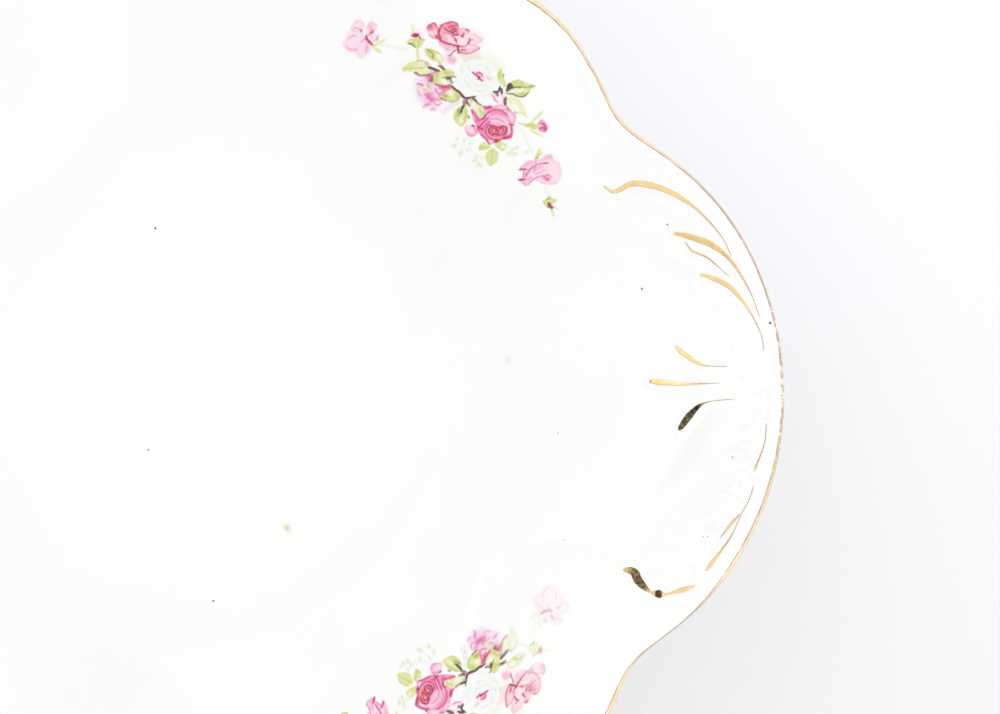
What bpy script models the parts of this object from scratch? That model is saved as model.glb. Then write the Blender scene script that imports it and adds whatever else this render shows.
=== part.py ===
"""Porcelain serving bowl.

A shallow bowl whose rim has four large lobes, out along X and Y, and four small ones between them. It stands
on a foot ring. A gilt line runs round the lip, each large lobe holds a spray of gilt brush strokes, and each
small lobe holds a printed spray of roses. The bowl's axis is Z and it stands on z = 0. Units are metres.
"""

import math

import bmesh
import bpy
from mathutils import Matrix, Vector

MM = 0.001
QUARTER = math.pi / 2

# Rim outline, seen from above: two kinds of ellipse, with a soft valley where they cross.
BIG_LOBE = (84.5 * MM, 46.2 * MM, 56.8 * MM)  # centre from the axis, half length outward, half width
SMALL_LOBE = (30.3 * MM, 86.3 * MM, 53.3 * MM)
VALLEY_SOFTNESS = 11.2 * MM

# Profile of the bowl before the lobes stretch it.
MEAN_RIM = 121.0 * MM
FLOOR_RADIUS = 52.0 * MM
FLOOR_Z = 9.5 * MM
WALL_RUN = 66.5 * MM
WALL_RISE = 52.5 * MM
WALL_POWER = 1.6
WALL_BASE = 4.5 * MM  # thickness where the wall leaves the floor
LIP_RADIUS = 1.2 * MM

# Foot ring.
FOOT_TOP = (46.5 * MM, 52.0 * MM)  # inner and outer radius against the floor
FOOT_TREAD = (48.8 * MM, 51.0 * MM)  # inner and outer radius of the face it stands on
FOOT_ROUND = 0.8 * MM

# Fired decoration.
GAP = 0.3 * MM  # between any piece and the one it lies on
FILM = 0.3 * MM
GILT_FROM = math.radians(85)  # round the lip, from its crest to its outer side
GILT_TO = math.radians(5)

# A rose spray's print: a crescent along an arc about the bowl's axis, in the lobe between +X and +Y.
SPRAY_RADIUS = 94.5 * MM
SPRAY_HALF_WIDTH = 12.5 * MM
SPRAY_HALF_ANGLE = math.radians(21)
SPRAY_MIDDLE_ANGLE = math.radians(46.5)
SPRAY_END = 0.2  # width left at each end, as a share of the middle's
SPRAY_HEART = Vector((65.8 * MM, 71.5 * MM))  # its white rose, which the print is turned about

# Where each print's white rose was laid, with its small lobe turned to lie between +X and +Y, and how far
# the print was turned from the first one's direction.
SPRAYS = {
    "northeast": (SPRAY_HEART, 0.0),
    "northwest": (Vector((65.5 * MM, 71.0 * MM)), math.radians(13.3)),
    "southwest": (Vector((66.5 * MM, 70.0 * MM)), math.radians(5)),
    "southeast": (Vector((68.3 * MM, 63.0 * MM)), math.radians(-18.3)),
}

# Facets.
ROUND_STEPS = 144
FOOT_STEPS = 96
LIP_STEPS = 4
GILT_STEPS = 3
WALL_STOPS = (0.0, 0.14, 0.28, 0.42, 0.56, 0.68, 0.79, 0.9, 1.0)
STEPS_PER_SPAN = 2

# Brush strokes in the lobe that points along +X. Each point is millimetres outward from the bowl's axis,
# millimetres to the left of the lobe's middle and the stroke's width there.
STROKES = {
    "long_plume": (
        (92.7, 46.1, 0.3), (95.3, 44.7, 0.9), (99.6, 46.2, 1.4), (106.1, 44.5, 1.4),
        (112.7, 40.1, 0.8), (118.0, 34.0, 0.4), (120.3, 29.3, 0.3),
    ),
    "upper_frond": (
        (108.1, 34.9, 0.3), (111.5, 34.1, 1.4), (115.5, 32.4, 1.5), (120.1, 28.5, 0.9),
        (124.1, 21.6, 0.5), (126.1, 15.8, 0.3),
    ),
    "upper_twig": ((110.4, 32.4, 0.3), (112.1, 30.9, 0.7), (115.5, 29.1, 0.7), (119.9, 24.8, 0.3)),
    "inner_frond": (
        (113.6, 25.7, 0.3), (117.0, 24.5, 1.2), (120.2, 22.4, 1.2), (123.8, 17.6, 0.6),
        (126.2, 12.5, 0.4), (127.0, 8.3, 0.3),
    ),
    "left_petal": (
        (108.1, 10.1, 0.4), (110.9, 7.3, 1.4), (113.6, 5.7, 0.8), (116.2, 5.2, 0.3), (119.3, 5.1, 0.3),
    ),
    "middle_petal": ((102.5, 2.1, 0.9), (105.1, 1.8, 1.5), (110.3, 1.3, 0.9), (117.6, 1.4, 0.3)),
    "right_petal": (
        (108.6, -9.0, 1.3), (110.6, -6.3, 1.8), (113.0, -3.7, 1.1), (115.8, -2.6, 0.4), (120.7, -2.2, 0.3),
    ),
    "lower_frond_tip": ((127.1, -7.6, 0.3), (126.5, -12.2, 0.4), (124.2, -18.1, 0.7)),
    "lower_frond": (
        (124.0, -21.3, 0.3), (122.9, -24.4, 0.4), (121.3, -27.2, 0.4), (118.5, -32.8, 0.5), (113.2, -39.8, 1.0),
    ),
    "lower_twig": ((120.2, -27.9, 0.4), (119.0, -29.6, 0.9), (116.4, -32.9, 0.3)),
    "lower_scroll": (
        (110.6, -43.1, 0.7), (108.0, -44.0, 1.3), (104.3, -45.1, 0.9), (100.9, -44.6, 1.3),
        (98.6, -42.5, 2.2), (97.6, -40.4, 2.0), (95.3, -40.0, 0.9),
    ),
}
LOBES = ("east", "north", "west", "south")  # the large ones, a quarter turn apart

# Colour, roughness and metallic value.
GLAZE = ((0.93, 0.925, 0.91), 0.08, 0.0)
FOOT_CLAY = ((0.90, 0.89, 0.865), 0.35, 0.0)
GILT = ((0.93, 0.66, 0.31), 0.2, 1.0)
ROSE_PRINT = ((0.83, 0.42, 0.55), 0.12, 0.0)


def clear_scene():
    for obj in list(bpy.data.objects):
        bpy.data.objects.remove(obj, do_unlink=True)


def reach(angle, lobe):
    """Distance from the bowl's axis to the far side of a lobe's ellipse, at this angle from its middle."""
    centre, half_length, half_width = lobe
    c = math.cos(angle)
    s = math.sin(angle)
    square = (c / half_length) ** 2 + (s / half_width) ** 2
    middle = c * centre / half_length**2
    rest = (centre / half_length) ** 2 - 1
    return (middle + math.sqrt(max(middle**2 - square * rest, 0.0))) / square


def rim_radius(angle):
    from_big = (angle + QUARTER / 2) % QUARTER - QUARTER / 2
    from_small = angle % QUARTER - QUARTER / 2
    big = reach(from_big, BIG_LOBE)
    small = reach(from_small, SMALL_LOBE)
    return (big + small + math.hypot(big - small, VALLEY_SOFTNESS)) / 2


def lobe_stretch(angle):
    """How much farther the wall runs out at this angle than the unlobed profile does."""
    return (rim_radius(angle) - FLOOR_RADIUS) / (MEAN_RIM - FLOOR_RADIUS)


def stretched(point):
    """A point of the unlobed bowl moved out to the lobes. The floor stays round."""
    radius = math.hypot(point.x, point.y)
    if radius <= FLOOR_RADIUS:
        return point
    angle = math.atan2(point.y, point.x)
    moved = FLOOR_RADIUS + (radius - FLOOR_RADIUS) * lobe_stretch(angle)
    return Vector((point.x * moved / radius, point.y * moved / radius, point.z))


def inner_wall(share):
    """(radius, z) on the unlobed inner wall, from 0 at the floor to 1 at the lip."""
    return FLOOR_RADIUS + share * WALL_RUN, FLOOR_Z + WALL_RISE * share**WALL_POWER


def wall_lean(share):
    """Angle of the inner wall above level."""
    return math.atan(WALL_RISE * WALL_POWER * share ** (WALL_POWER - 1) / WALL_RUN)


def outer_wall(share):
    radius, z = inner_wall(share)
    lean = wall_lean(share)
    thickness = WALL_BASE + (2 * LIP_RADIUS - WALL_BASE) * share
    return radius + math.sin(lean) * thickness, z - math.cos(lean) * thickness


def lip_arc(radius, start, end, steps):
    """Points round the lip's centre. Angles are measured from level outward."""
    edge_radius, edge_z = inner_wall(1.0)
    lean = wall_lean(1.0)
    centre = (edge_radius + math.sin(lean) * LIP_RADIUS, edge_z - math.cos(lean) * LIP_RADIUS)
    angles = [start + (end - start) * i / steps for i in range(steps + 1)]
    return [(centre[0] + radius * math.cos(a), centre[1] + radius * math.sin(a)) for a in angles]


def wall_height(x, y):
    """Height of the inner surface under a plan point."""
    radius = math.hypot(x, y)
    share = (radius - FLOOR_RADIUS) / (lobe_stretch(math.atan2(y, x)) * WALL_RUN)
    return inner_wall(max(share, 0.0))[1]


def over_wall(x, y, gap):
    """A point this far off the inner surface, square to it."""
    step = 0.1 * MM
    slope_x = (wall_height(x + step, y) - wall_height(x - step, y)) / (2 * step)
    slope_y = (wall_height(x, y + step) - wall_height(x, y - step)) / (2 * step)
    normal = Vector((-slope_x, -slope_y, 1.0)).normalized()
    return Vector((x, y, wall_height(x, y))) + normal * gap


def make_material(name, look):
    colour, roughness, metallic = look
    material = bpy.data.materials.new(name)
    material.use_nodes = True
    shader = material.node_tree.nodes["Principled BSDF"]
    shader.inputs["Base Color"].default_value = (*colour, 1.0)
    shader.inputs["Roughness"].default_value = roughness
    shader.inputs["Metallic"].default_value = metallic
    return material


def add_object(name, mesh, look, collection):
    """A smooth-shaded object with a material of its own."""
    data = bpy.data.meshes.new(name)
    mesh.to_mesh(data)
    mesh.free()
    data.shade_smooth()
    data.materials.append(make_material(name, look))
    obj = bpy.data.objects.new(name, data)
    collection.objects.link(obj)
    return obj


def turned(outline, steps, closed):
    """A mesh turned about Z from (radius, z) points, which either close on themselves or end on the axis."""
    mesh = bmesh.new()
    verts = [mesh.verts.new((radius, 0.0, z)) for radius, z in outline]
    pairs = list(zip(verts, verts[1:]))
    if closed:
        pairs.append((verts[-1], verts[0]))
    edges = [mesh.edges.new(pair) for pair in pairs]
    bmesh.ops.spin(
        mesh, geom=verts + edges, cent=(0, 0, 0), axis=(0, 0, 1), angle=2 * math.pi, steps=steps, use_merge=True
    )
    bmesh.ops.remove_doubles(mesh, verts=mesh.verts, dist=0.001 * MM)
    bmesh.ops.recalc_face_normals(mesh, faces=mesh.faces)
    return mesh


def lobed(mesh):
    for vert in mesh.verts:
        vert.co = stretched(vert.co)
    return mesh


def add_bowl_body(collection):
    lean = wall_lean(1.0)
    inside = [inner_wall(share) for share in WALL_STOPS]
    lip = lip_arc(LIP_RADIUS, lean + QUARTER, lean - QUARTER, LIP_STEPS)
    outside = [outer_wall(share) for share in reversed(WALL_STOPS)]
    underside_z = outside[-1][1]
    outline = [(0.0, FLOOR_Z), *inside, *lip[1:-1], *outside, (0.0, underside_z)]
    add_object("bowl_body", lobed(turned(outline, ROUND_STEPS, closed=False)), GLAZE, collection)


def add_foot_ring(collection):
    top = FLOOR_Z - WALL_BASE - GAP
    outline = [
        (FOOT_TOP[0], top),
        (FOOT_TOP[1], top),
        (FOOT_TREAD[1] + FOOT_ROUND / 2, FOOT_ROUND),
        (FOOT_TREAD[1], 0.0),
        (FOOT_TREAD[0], 0.0),
        (FOOT_TREAD[0] - FOOT_ROUND / 2, FOOT_ROUND),
    ]
    add_object("foot_ring", turned(outline, FOOT_STEPS, closed=True), FOOT_CLAY, collection)


def add_rim_gilding(collection):
    under = lip_arc(LIP_RADIUS + GAP, GILT_FROM, GILT_TO, GILT_STEPS)
    over = lip_arc(LIP_RADIUS + GAP + FILM, GILT_TO, GILT_FROM, GILT_STEPS)
    band = turned(under + over, ROUND_STEPS, closed=True)
    add_object("rim_gilding", lobed(band), GILT, collection)


def add_film(name, segments, place, look, turn, collection):
    """A thin film over the inner wall. place(along, across) gives its plan points, for along from 0 to 1 and
    across from -1 on the right to 1 on the left, before the whole film is turned about the bowl's axis."""
    mesh = bmesh.new()
    bmesh.ops.create_grid(mesh, x_segments=segments[0], y_segments=segments[1], size=1.0)
    for vert in mesh.verts:
        x, y = place((vert.co.x + 1) / 2, vert.co.y)
        vert.co = over_wall(x, y, GAP)
    obj = add_object(name, mesh, look, collection)
    obj.rotation_euler.z = turn
    solidify = obj.modifiers.new("Film", "SOLIDIFY")
    solidify.thickness = FILM
    solidify.offset = 1.0


def spray_place(heart, twist):
    """The place function of one rose spray, for its small lobe turned to lie between +X and +Y."""

    def place(along, across):
        end = abs(2 * along - 1)
        half_width = SPRAY_HALF_WIDTH * (SPRAY_END + (1 - SPRAY_END) * math.sqrt(1 - end**2))
        angle = SPRAY_MIDDLE_ANGLE + SPRAY_HALF_ANGLE * (1 - 2 * along)
        radius = SPRAY_RADIUS + half_width * across
        from_heart = Vector((radius * math.cos(angle), radius * math.sin(angle))) - SPRAY_HEART
        from_heart.rotate(Matrix.Rotation(twist, 2))
        return heart + from_heart

    return place


def add_rose_sprays(collection):
    for index, (lobe, (heart, twist)) in enumerate(SPRAYS.items()):
        add_film(f"rose_spray_{lobe}", (14, 4), spray_place(heart, twist), ROSE_PRINT, index * QUARTER, collection)


def smooth_point(route, along):
    """A point of the smooth curve through a route's points, for along from 0 to 1."""
    spans = len(route) - 1
    index = min(int(along * spans), spans - 1)
    t = along * spans - index
    before, start, end, after = (
        Vector(route[min(max(i, 0), spans)]) for i in range(index - 1, index + 3)
    )
    bend = 2 * before - 5 * start + 4 * end - after
    turn = 3 * (start - end) + after - before
    return start + (end - before) * t / 2 + bend * t**2 / 2 + turn * t**3 / 2


def stroke_place(route):
    """The place function of one brush stroke."""

    def place(along, across):
        step = 0.01
        here = smooth_point(route, along)
        heading = smooth_point(route, min(along + step, 1.0)) - smooth_point(route, max(along - step, 0.0))
        heading.z = 0.0
        heading.normalize()
        side = across * here.z / 2
        return (here.x - heading.y * side) * MM, (here.y + heading.x * side) * MM

    return place


def add_brush_strokes(collection):
    for index, lobe in enumerate(LOBES):
        for stroke, route in STROKES.items():
            segments = ((len(route) - 1) * STEPS_PER_SPAN, 1)
            add_film(f"gilt_{stroke}_{lobe}", segments, stroke_place(route), GILT, index * QUARTER, collection)


def build():
    clear_scene()
    collection = bpy.data.collections.new("porcelain_serving_bowl")
    bpy.context.scene.collection.children.link(collection)
    add_bowl_body(collection)
    add_foot_ring(collection)
    add_rim_gilding(collection)
    add_rose_sprays(collection)
    add_brush_strokes(collection)


build()
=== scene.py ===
"""The looks of the porcelain serving bowl, laid over its CAD frame.

The bowl's surfaces follow the same outline and profile as the CAD bowl, at a finer grain, with the low relief
moulding, the worn gilt line, the brush strokes, the printed roses and the kiln's specks. Units are metres in
Blender; sizes here are millimetres unless a name says otherwise.
"""

import math

import bmesh
import bpy
import numpy as np
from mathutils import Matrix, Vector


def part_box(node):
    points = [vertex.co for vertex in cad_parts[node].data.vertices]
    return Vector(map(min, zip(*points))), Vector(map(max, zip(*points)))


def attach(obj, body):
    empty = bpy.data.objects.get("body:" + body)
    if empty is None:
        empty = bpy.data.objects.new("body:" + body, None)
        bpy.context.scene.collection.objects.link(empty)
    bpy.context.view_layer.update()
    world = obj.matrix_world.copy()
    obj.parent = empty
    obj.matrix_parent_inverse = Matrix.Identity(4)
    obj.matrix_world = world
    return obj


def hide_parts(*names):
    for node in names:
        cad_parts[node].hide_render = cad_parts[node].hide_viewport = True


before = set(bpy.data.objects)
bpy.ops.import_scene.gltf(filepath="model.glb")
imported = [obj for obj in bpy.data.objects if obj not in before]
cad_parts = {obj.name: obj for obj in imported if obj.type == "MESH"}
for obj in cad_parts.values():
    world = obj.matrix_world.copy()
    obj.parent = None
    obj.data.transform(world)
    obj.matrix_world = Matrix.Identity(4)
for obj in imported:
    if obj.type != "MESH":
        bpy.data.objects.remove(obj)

MM = 0.001
QUARTER = math.pi / 2
LOBES = ("east", "north", "west", "south")

# ---------------------------------------------------------------- the bowl's shape

BODY_LOW, BODY_HIGH = (np.array(corner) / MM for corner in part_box("bowl_body"))
FOOT_LOW, FOOT_HIGH = (np.array(corner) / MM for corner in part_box("foot_ring"))

# Centre from the axis, half length outward and half width of the two kinds of lobe.
BIG_LOBE = (84.5, 46.2, 56.8)
SMALL_LOBE = (30.3, 86.3, 53.3)
VALLEY_SOFTNESS = 11.2  # how widely two lobes melt together where they meet
MEAN_RIM = 121.0  # where the outline is this far out, the wall is neither stretched nor drawn in
FLOOR_RADIUS = FOOT_HIGH[0]
WALL_BASE = 4.5  # thickness of the floor and of the wall's root
FLOOR_Z = BODY_LOW[2] + WALL_BASE
WALL_RUN = 66.5  # how far the inner wall goes outward, without the lobes
WALL_RISE = 52.5  # and how far up
WALL_POWER = 1.6  # how slowly it starts to rise
LIP_RADIUS = 1.25


def reach(angle, lobe):
    """Distance from the axis to the far side of a lobe's ellipse."""
    centre, half_length, half_width = lobe
    c, s = np.cos(angle), np.sin(angle)
    square = (c / half_length) ** 2 + (s / half_width) ** 2
    middle = c * centre / half_length**2
    rest = (centre / half_length) ** 2 - 1
    return (middle + np.sqrt(np.maximum(middle**2 - square * rest, 0.0))) / square


def rim_radius(angle):
    big = reach((angle + QUARTER / 2) % QUARTER - QUARTER / 2, BIG_LOBE)
    small = reach(angle % QUARTER - QUARTER / 2, SMALL_LOBE)
    return (big + small + np.hypot(big - small, VALLEY_SOFTNESS)) / 2


def lobe_stretch(angle):
    return (rim_radius(angle) - FLOOR_RADIUS) / (MEAN_RIM - FLOOR_RADIUS)


def inner_wall(share):
    return FLOOR_RADIUS + share * WALL_RUN, FLOOR_Z + WALL_RISE * share**WALL_POWER


def wall_lean(share):
    return np.arctan(WALL_RISE * WALL_POWER * share ** (WALL_POWER - 1) / WALL_RUN)


def wall_height(x, y):
    """Height of the smooth inner surface at plan points."""
    share = (np.hypot(x, y) - FLOOR_RADIUS) / (lobe_stretch(np.arctan2(y, x)) * WALL_RUN)
    return FLOOR_Z + WALL_RISE * np.maximum(share, 0.0) ** WALL_POWER


def wall_normal(x, y):
    step = 0.1
    slope_x = (wall_height(x + step, y) - wall_height(x - step, y)) / (2 * step)
    slope_y = (wall_height(x, y + step) - wall_height(x, y - step)) / (2 * step)
    normal = np.stack([-slope_x, -slope_y, np.ones_like(slope_x)], axis=-1)
    return normal / np.linalg.norm(normal, axis=-1, keepdims=True)


def over_wall(x, y, gap):
    """Points this far off the inner surface, relief included."""
    base = np.stack([x, y, wall_height(x, y)], axis=-1)
    return base + wall_normal(x, y) * (gap + relief(x, y))[..., None]


# ---------------------------------------------------------------- low relief moulding

# The brush strokes on the routes of the CAD strokes: millimetres outward, millimetres from the lobe's
# middle, and width.
STROKES = {
    "long_plume": (
        (92.7, 46.1, 0.45), (95.3, 44.7, 1.1), (99.6, 46.2, 1.45), (106.1, 44.5, 1.4),
        (112.7, 40.1, 0.8), (118.0, 34.0, 0.38), (120.3, 29.3, 0.12),
    ),
    "upper_frond": (
        (108.1, 34.9, 0.85), (110.3, 34.4, 1.4), (115.5, 32.4, 1.5), (120.1, 28.5, 0.9),
        (124.1, 21.6, 0.45), (126.1, 15.8, 0.14),
    ),
    "upper_twig": ((110.4, 33.2, 0.3), (112.1, 30.9, 0.6), (115.5, 29.1, 0.6), (119.9, 24.8, 0.12)),
    "inner_frond": (
        (113.6, 25.7, 0.75), (116.0, 24.9, 1.15), (120.2, 22.4, 1.2), (123.8, 17.6, 0.65),
        (126.2, 12.5, 0.36), (127.0, 8.3, 0.12),
    ),
    "left_petal": (
        (108.1, 10.1, 0.85), (110.3, 7.9, 1.3), (113.6, 5.7, 0.8), (116.2, 5.2, 0.3), (119.3, 5.1, 0.12),
    ),
    "middle_petal": ((102.5, 2.1, 1.1), (104.7, 1.85, 1.55), (110.3, 1.3, 0.9), (117.6, 1.4, 0.14)),
    "right_petal": (
        (108.6, -9.0, 1.2), (110.6, -6.3, 1.75), (113.0, -3.7, 1.1), (115.8, -2.6, 0.35),
        (120.7, -2.2, 0.12),
    ),
    "lower_frond_tip": ((127.1, -7.6, 0.14), (126.5, -12.2, 0.4), (124.2, -18.1, 0.7)),
    "lower_frond": (
        (124.0, -21.3, 0.14), (122.9, -24.4, 0.25), (121.3, -27.2, 0.35), (118.5, -32.8, 0.5),
        (113.2, -39.8, 1.2),
    ),
    "lower_twig": ((120.9, -27.4, 0.35), (119.0, -29.6, 0.85), (116.4, -32.9, 0.25)),
    "lower_scroll": (
        (110.6, -43.1, 0.6), (108.0, -44.0, 1.3), (104.6, -45.0, 0.7), (102.8, -45.0, 1.9),
        (101.3, -44.7, 0.8), (99.9, -43.7, 1.5), (98.6, -42.3, 2.2), (97.6, -40.4, 2.0), (95.3, -40.0, 0.9),
    ),
}

# Each stroke lies on a low ridge of the moulding.
RIDGE_HEIGHT = 0.2
RIDGE_MARGIN = 0.25  # the flat top of a ridge reaches this far past its stroke
RIDGE_SLOPE = 1.1  # width of a ridge's flank
# Base, tip and half width of each leaf of the shell border, for one half of a lobe and its mirror.
LEAVES = (
    ((125.6, 2.2), (120.6, 5.6), 2.3),
    ((125.2, 6.5), (119.4, 11.8), 2.6),
    ((123.8, 11.6), (115.6, 15.8), 3.3),
    ((122.2, 17.6), (112.6, 23.6), 3.9),
    ((118.0, 26.2), (105.4, 31.6), 4.8),
    ((112.6, 34.0), (100.2, 37.6), 4.3),
    ((108.6, 40.0), (97.6, 41.8), 2.8),
)
LEAF_HEIGHT = 0.34
VEIN_WIDTH = 0.45
FLUTE_HEIGHT = 0.22
# The shell's flutes, which spread from one point.
FLUTE_ROOT = (110.5, 43.4)
FLUTE_TIPS = ((104.6, 36.4), (106.8, 35.6), (109.2, 35.4), (102.6, 38.0))
# The beading inside the lip of each small lobe.
BEAD_PITCH = 2.4
BEAD_FROM_LIP = 3.2
BEAD_HALF_WIDTH = 1.5
BEAD_HEIGHT = 0.22
BEAD_SLANT = 0.9  # how far the beads lean along the lip for each millimetre inward
# Degrees from a small lobe's middle over which the beading fades in, and out again.
BEADS_IN = (2, 7)
BEADS_OUT = (13, 16)


def in_lobe(x, y):
    """Plan points turned into the large lobe that points along +X."""
    radius = np.hypot(x, y)
    angle = (np.arctan2(y, x) + QUARTER / 2) % QUARTER - QUARTER / 2
    return radius * np.cos(angle), radius * np.sin(angle)


def curve_between(before, start, end, after, t):
    """Points at shares t of the smooth curve from start to end, given the points on either side of them."""
    bend = 2 * before - 5 * start + 4 * end - after
    turn = 3 * (start - end) + after - before
    return start + ((end - before) * t + bend * t**2 + turn * t**3) / 2


def smooth_route(route, count):
    """Points of the smooth curve through a route's points."""
    route = np.array(route, float)
    padded = np.vstack([2 * route[0] - route[1], route, 2 * route[-1] - route[-2]])
    along = np.linspace(0, len(route) - 1, count)
    index = np.minimum(along.astype(int), len(route) - 2)
    t = (along - index)[:, None]
    return curve_between(*(padded[index + i] for i in range(4)), t)


def nearest_on(line, x, y):
    """Distance from each point to a polyline, and how far along it (0 to 1) the nearest point is."""
    best = np.full(x.shape, np.inf)
    share = np.zeros(x.shape)
    spans = len(line) - 1
    for i in range(spans):
        (ax, ay), (bx, by) = line[i][:2], line[i + 1][:2]
        dx, dy = bx - ax, by - ay
        t = np.clip(((x - ax) * dx + (y - ay) * dy) / (dx * dx + dy * dy), 0, 1)
        distance = np.hypot(x - ax - t * dx, y - ay - t * dy)
        nearer = distance < best
        best = np.where(nearer, distance, best)
        share = np.where(nearer, (i + t) / spans, share)
    return best, share


def dome(distance, half_width):
    """A smooth swelling, 1 in the middle and 0 from the half width on."""
    return np.clip(1 - (distance / half_width) ** 2, 0, 1) ** 1.5


def soft_step(value, low, high):
    t = np.clip((value - low) / (high - low), 0, 1)
    return t * t * (3 - 2 * t)


def ridge_relief(x, y):
    """The ridges under the strokes, and how clear of every stroke each point is (0 on it, 1 away from it)."""
    height = np.zeros(x.shape)
    clear = np.ones(x.shape)
    for route in STROKES.values():
        distance, share = nearest_on(smooth_route(route, 6 * len(route))[:, :2], x, y)
        width = np.interp(share, np.linspace(0, 1, len(route)), [w for _, _, w in route])
        flank = distance - width / 2 - RIDGE_MARGIN
        height = np.maximum(height, RIDGE_HEIGHT * (1 - soft_step(flank, 0, RIDGE_SLOPE)))
        clear = np.minimum(clear, soft_step(flank, 0, 2 * RIDGE_SLOPE))
    return height, clear


def leaf_relief(x, y):
    height = np.zeros(x.shape)
    for base, tip, half_width in LEAVES:
        distance, share = nearest_on(np.array([base, tip]), x, y)
        lobing = 1 + 0.14 * np.sin(share * 5 * np.pi)
        width = half_width * lobing * np.sqrt(np.clip(1.02 - (1.3 * share - 0.45) ** 2, 0.02, 1))
        leaf = dome(distance, width) * (1 - 0.45 * np.exp(-((distance / VEIN_WIDTH) ** 2)))
        height = np.maximum(height, LEAF_HEIGHT * leaf)
    for tip in FLUTE_TIPS:
        distance, share = nearest_on(np.array([FLUTE_ROOT, tip]), x, y)
        height = np.maximum(height, FLUTE_HEIGHT * dome(distance, 0.4 + 1.1 * share))
    return height


def bead_relief(x, y):
    angle = np.arctan2(y, x)
    radius = np.hypot(x, y)
    from_small = np.abs(angle % QUARTER - QUARTER / 2)
    from_lip = rim_radius(angle) - radius
    along = (from_small * radius + BEAD_SLANT * from_lip) / BEAD_PITCH
    beads = np.abs(np.cos(np.pi * along)) * dome(from_lip - BEAD_FROM_LIP, BEAD_HALF_WIDTH)
    degrees = np.degrees(from_small)
    return BEAD_HEIGHT * soft_step(degrees, *BEADS_IN) * (1 - soft_step(degrees, *BEADS_OUT)) * beads


def relief(x, y):
    """Height of the moulding over the smooth wall."""
    lobe_x, lobe_y = in_lobe(x, y)
    ridges, clear = ridge_relief(lobe_x, lobe_y)
    return ridges + leaf_relief(lobe_x, np.abs(lobe_y)) * clear + bead_relief(x, y)


# ---------------------------------------------------------------- meshes


def lobed(radius, z, angle):
    """Points of the lobed bowl for rows of (radius, z) on the unlobed one, one column for each angle."""
    beyond = np.maximum(radius - FLOOR_RADIUS, 0.0)[:, None]
    out = np.minimum(radius, FLOOR_RADIUS)[:, None] + beyond * lobe_stretch(angle)[None, :]
    z = np.broadcast_to(z[:, None], out.shape)
    return np.stack([out * np.cos(angle), out * np.sin(angle), z], axis=-1)


def sheet_faces(rows, columns, wrap_rows, wrap_columns):
    """Quads of a grid of rows and columns, which may each close on themselves."""
    i = np.arange(rows if wrap_rows else rows - 1)
    j = np.arange(columns if wrap_columns else columns - 1)
    i, j = (a.ravel() for a in np.meshgrid(i, j, indexing="ij"))
    this_row, next_row = i * columns, (i + 1) % rows * columns
    right = (j + 1) % columns
    return np.stack([this_row + j, this_row + right, next_row + right, next_row + j], axis=1)


def make_mesh(name, points, quads, extra=()):
    """A smooth-shaded mesh from points in millimetres, quads, and lists of corners for any other faces."""
    mesh = bpy.data.meshes.new(name)
    places = (np.asarray(points).reshape(-1, 3) * MM).tolist()
    mesh.from_pydata(places, [], quads.tolist() + [list(face) for face in extra])
    mesh.shade_smooth()
    return mesh


def set_values(mesh, name, values):
    """One number for each point of the mesh, which its material reads by name."""
    mesh.attributes.new(name, "FLOAT", "POINT").data.foreach_set("value", np.ravel(values))


def add_piece(name, mesh, material, nodes=()):
    piece = bpy.data.objects.new(name, mesh)
    bpy.context.scene.collection.objects.link(piece)
    mesh.materials.append(material)
    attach(piece, "root")
    if nodes:
        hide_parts(*nodes)
    return piece


def lip_points(radius, angles):
    """(radius, z) round the middle of the lip."""
    edge_radius, edge_z = inner_wall(1.0)
    lean = wall_lean(1.0)
    middle_radius = edge_radius + math.sin(lean) * LIP_RADIUS
    middle_z = edge_z - math.cos(lean) * LIP_RADIUS
    return middle_radius + radius * np.cos(angles), middle_z + radius * np.sin(angles)


# Rows and columns of the bowl's mesh. The upper wall, where the moulding is, has the finest rows.
BOWL_COLUMNS = 1600
FLOOR_ROWS = 12
LOWER_ROWS, UPPER_ROWS = 25, 110
LIP_ROWS = 13
BACK_ROWS = 34
UNDER_ROWS = 4
UPPER_FROM = 0.45  # share of the wall's run where the upper rows start
RELIEF_FROM = 5.0  # height over the floor where the moulding starts


def steps_inside(low, high, count):
    """This many even steps between low and high, without the two ends."""
    return np.linspace(low, high, count + 2)[1:-1]


def inside_rows():
    """(radius, z) of the unlobed bowl from the middle of its floor up to the lip."""
    floor = steps_inside(0, FLOOR_RADIUS, FLOOR_ROWS)
    lower = np.linspace(0, UPPER_FROM, LOWER_ROWS, endpoint=False)
    wall_r, wall_z = inner_wall(np.concatenate([lower, np.linspace(UPPER_FROM, 1, UPPER_ROWS)]))
    return np.concatenate([floor, wall_r]), np.concatenate([np.full(FLOOR_ROWS, FLOOR_Z), wall_z])


def outside_rows():
    """(radius, z) of the unlobed bowl over the lip, down the outside and in under the floor."""
    lean = wall_lean(1.0)
    lip_r, lip_z = lip_points(LIP_RADIUS, steps_inside(lean + QUARTER, lean - QUARTER, LIP_ROWS))
    share = np.linspace(1, 0, BACK_ROWS)
    back_r, back_z = inner_wall(share)
    thick = WALL_BASE + (2 * LIP_RADIUS - WALL_BASE) * share
    back_r, back_z = back_r + np.sin(wall_lean(share)) * thick, back_z - np.cos(wall_lean(share)) * thick
    under = steps_inside(FLOOR_RADIUS, 0, UNDER_ROWS)
    z = np.concatenate([lip_z, back_z, np.full(UNDER_ROWS, BODY_LOW[2])])
    return np.concatenate([lip_r, back_r, under]), z


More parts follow.
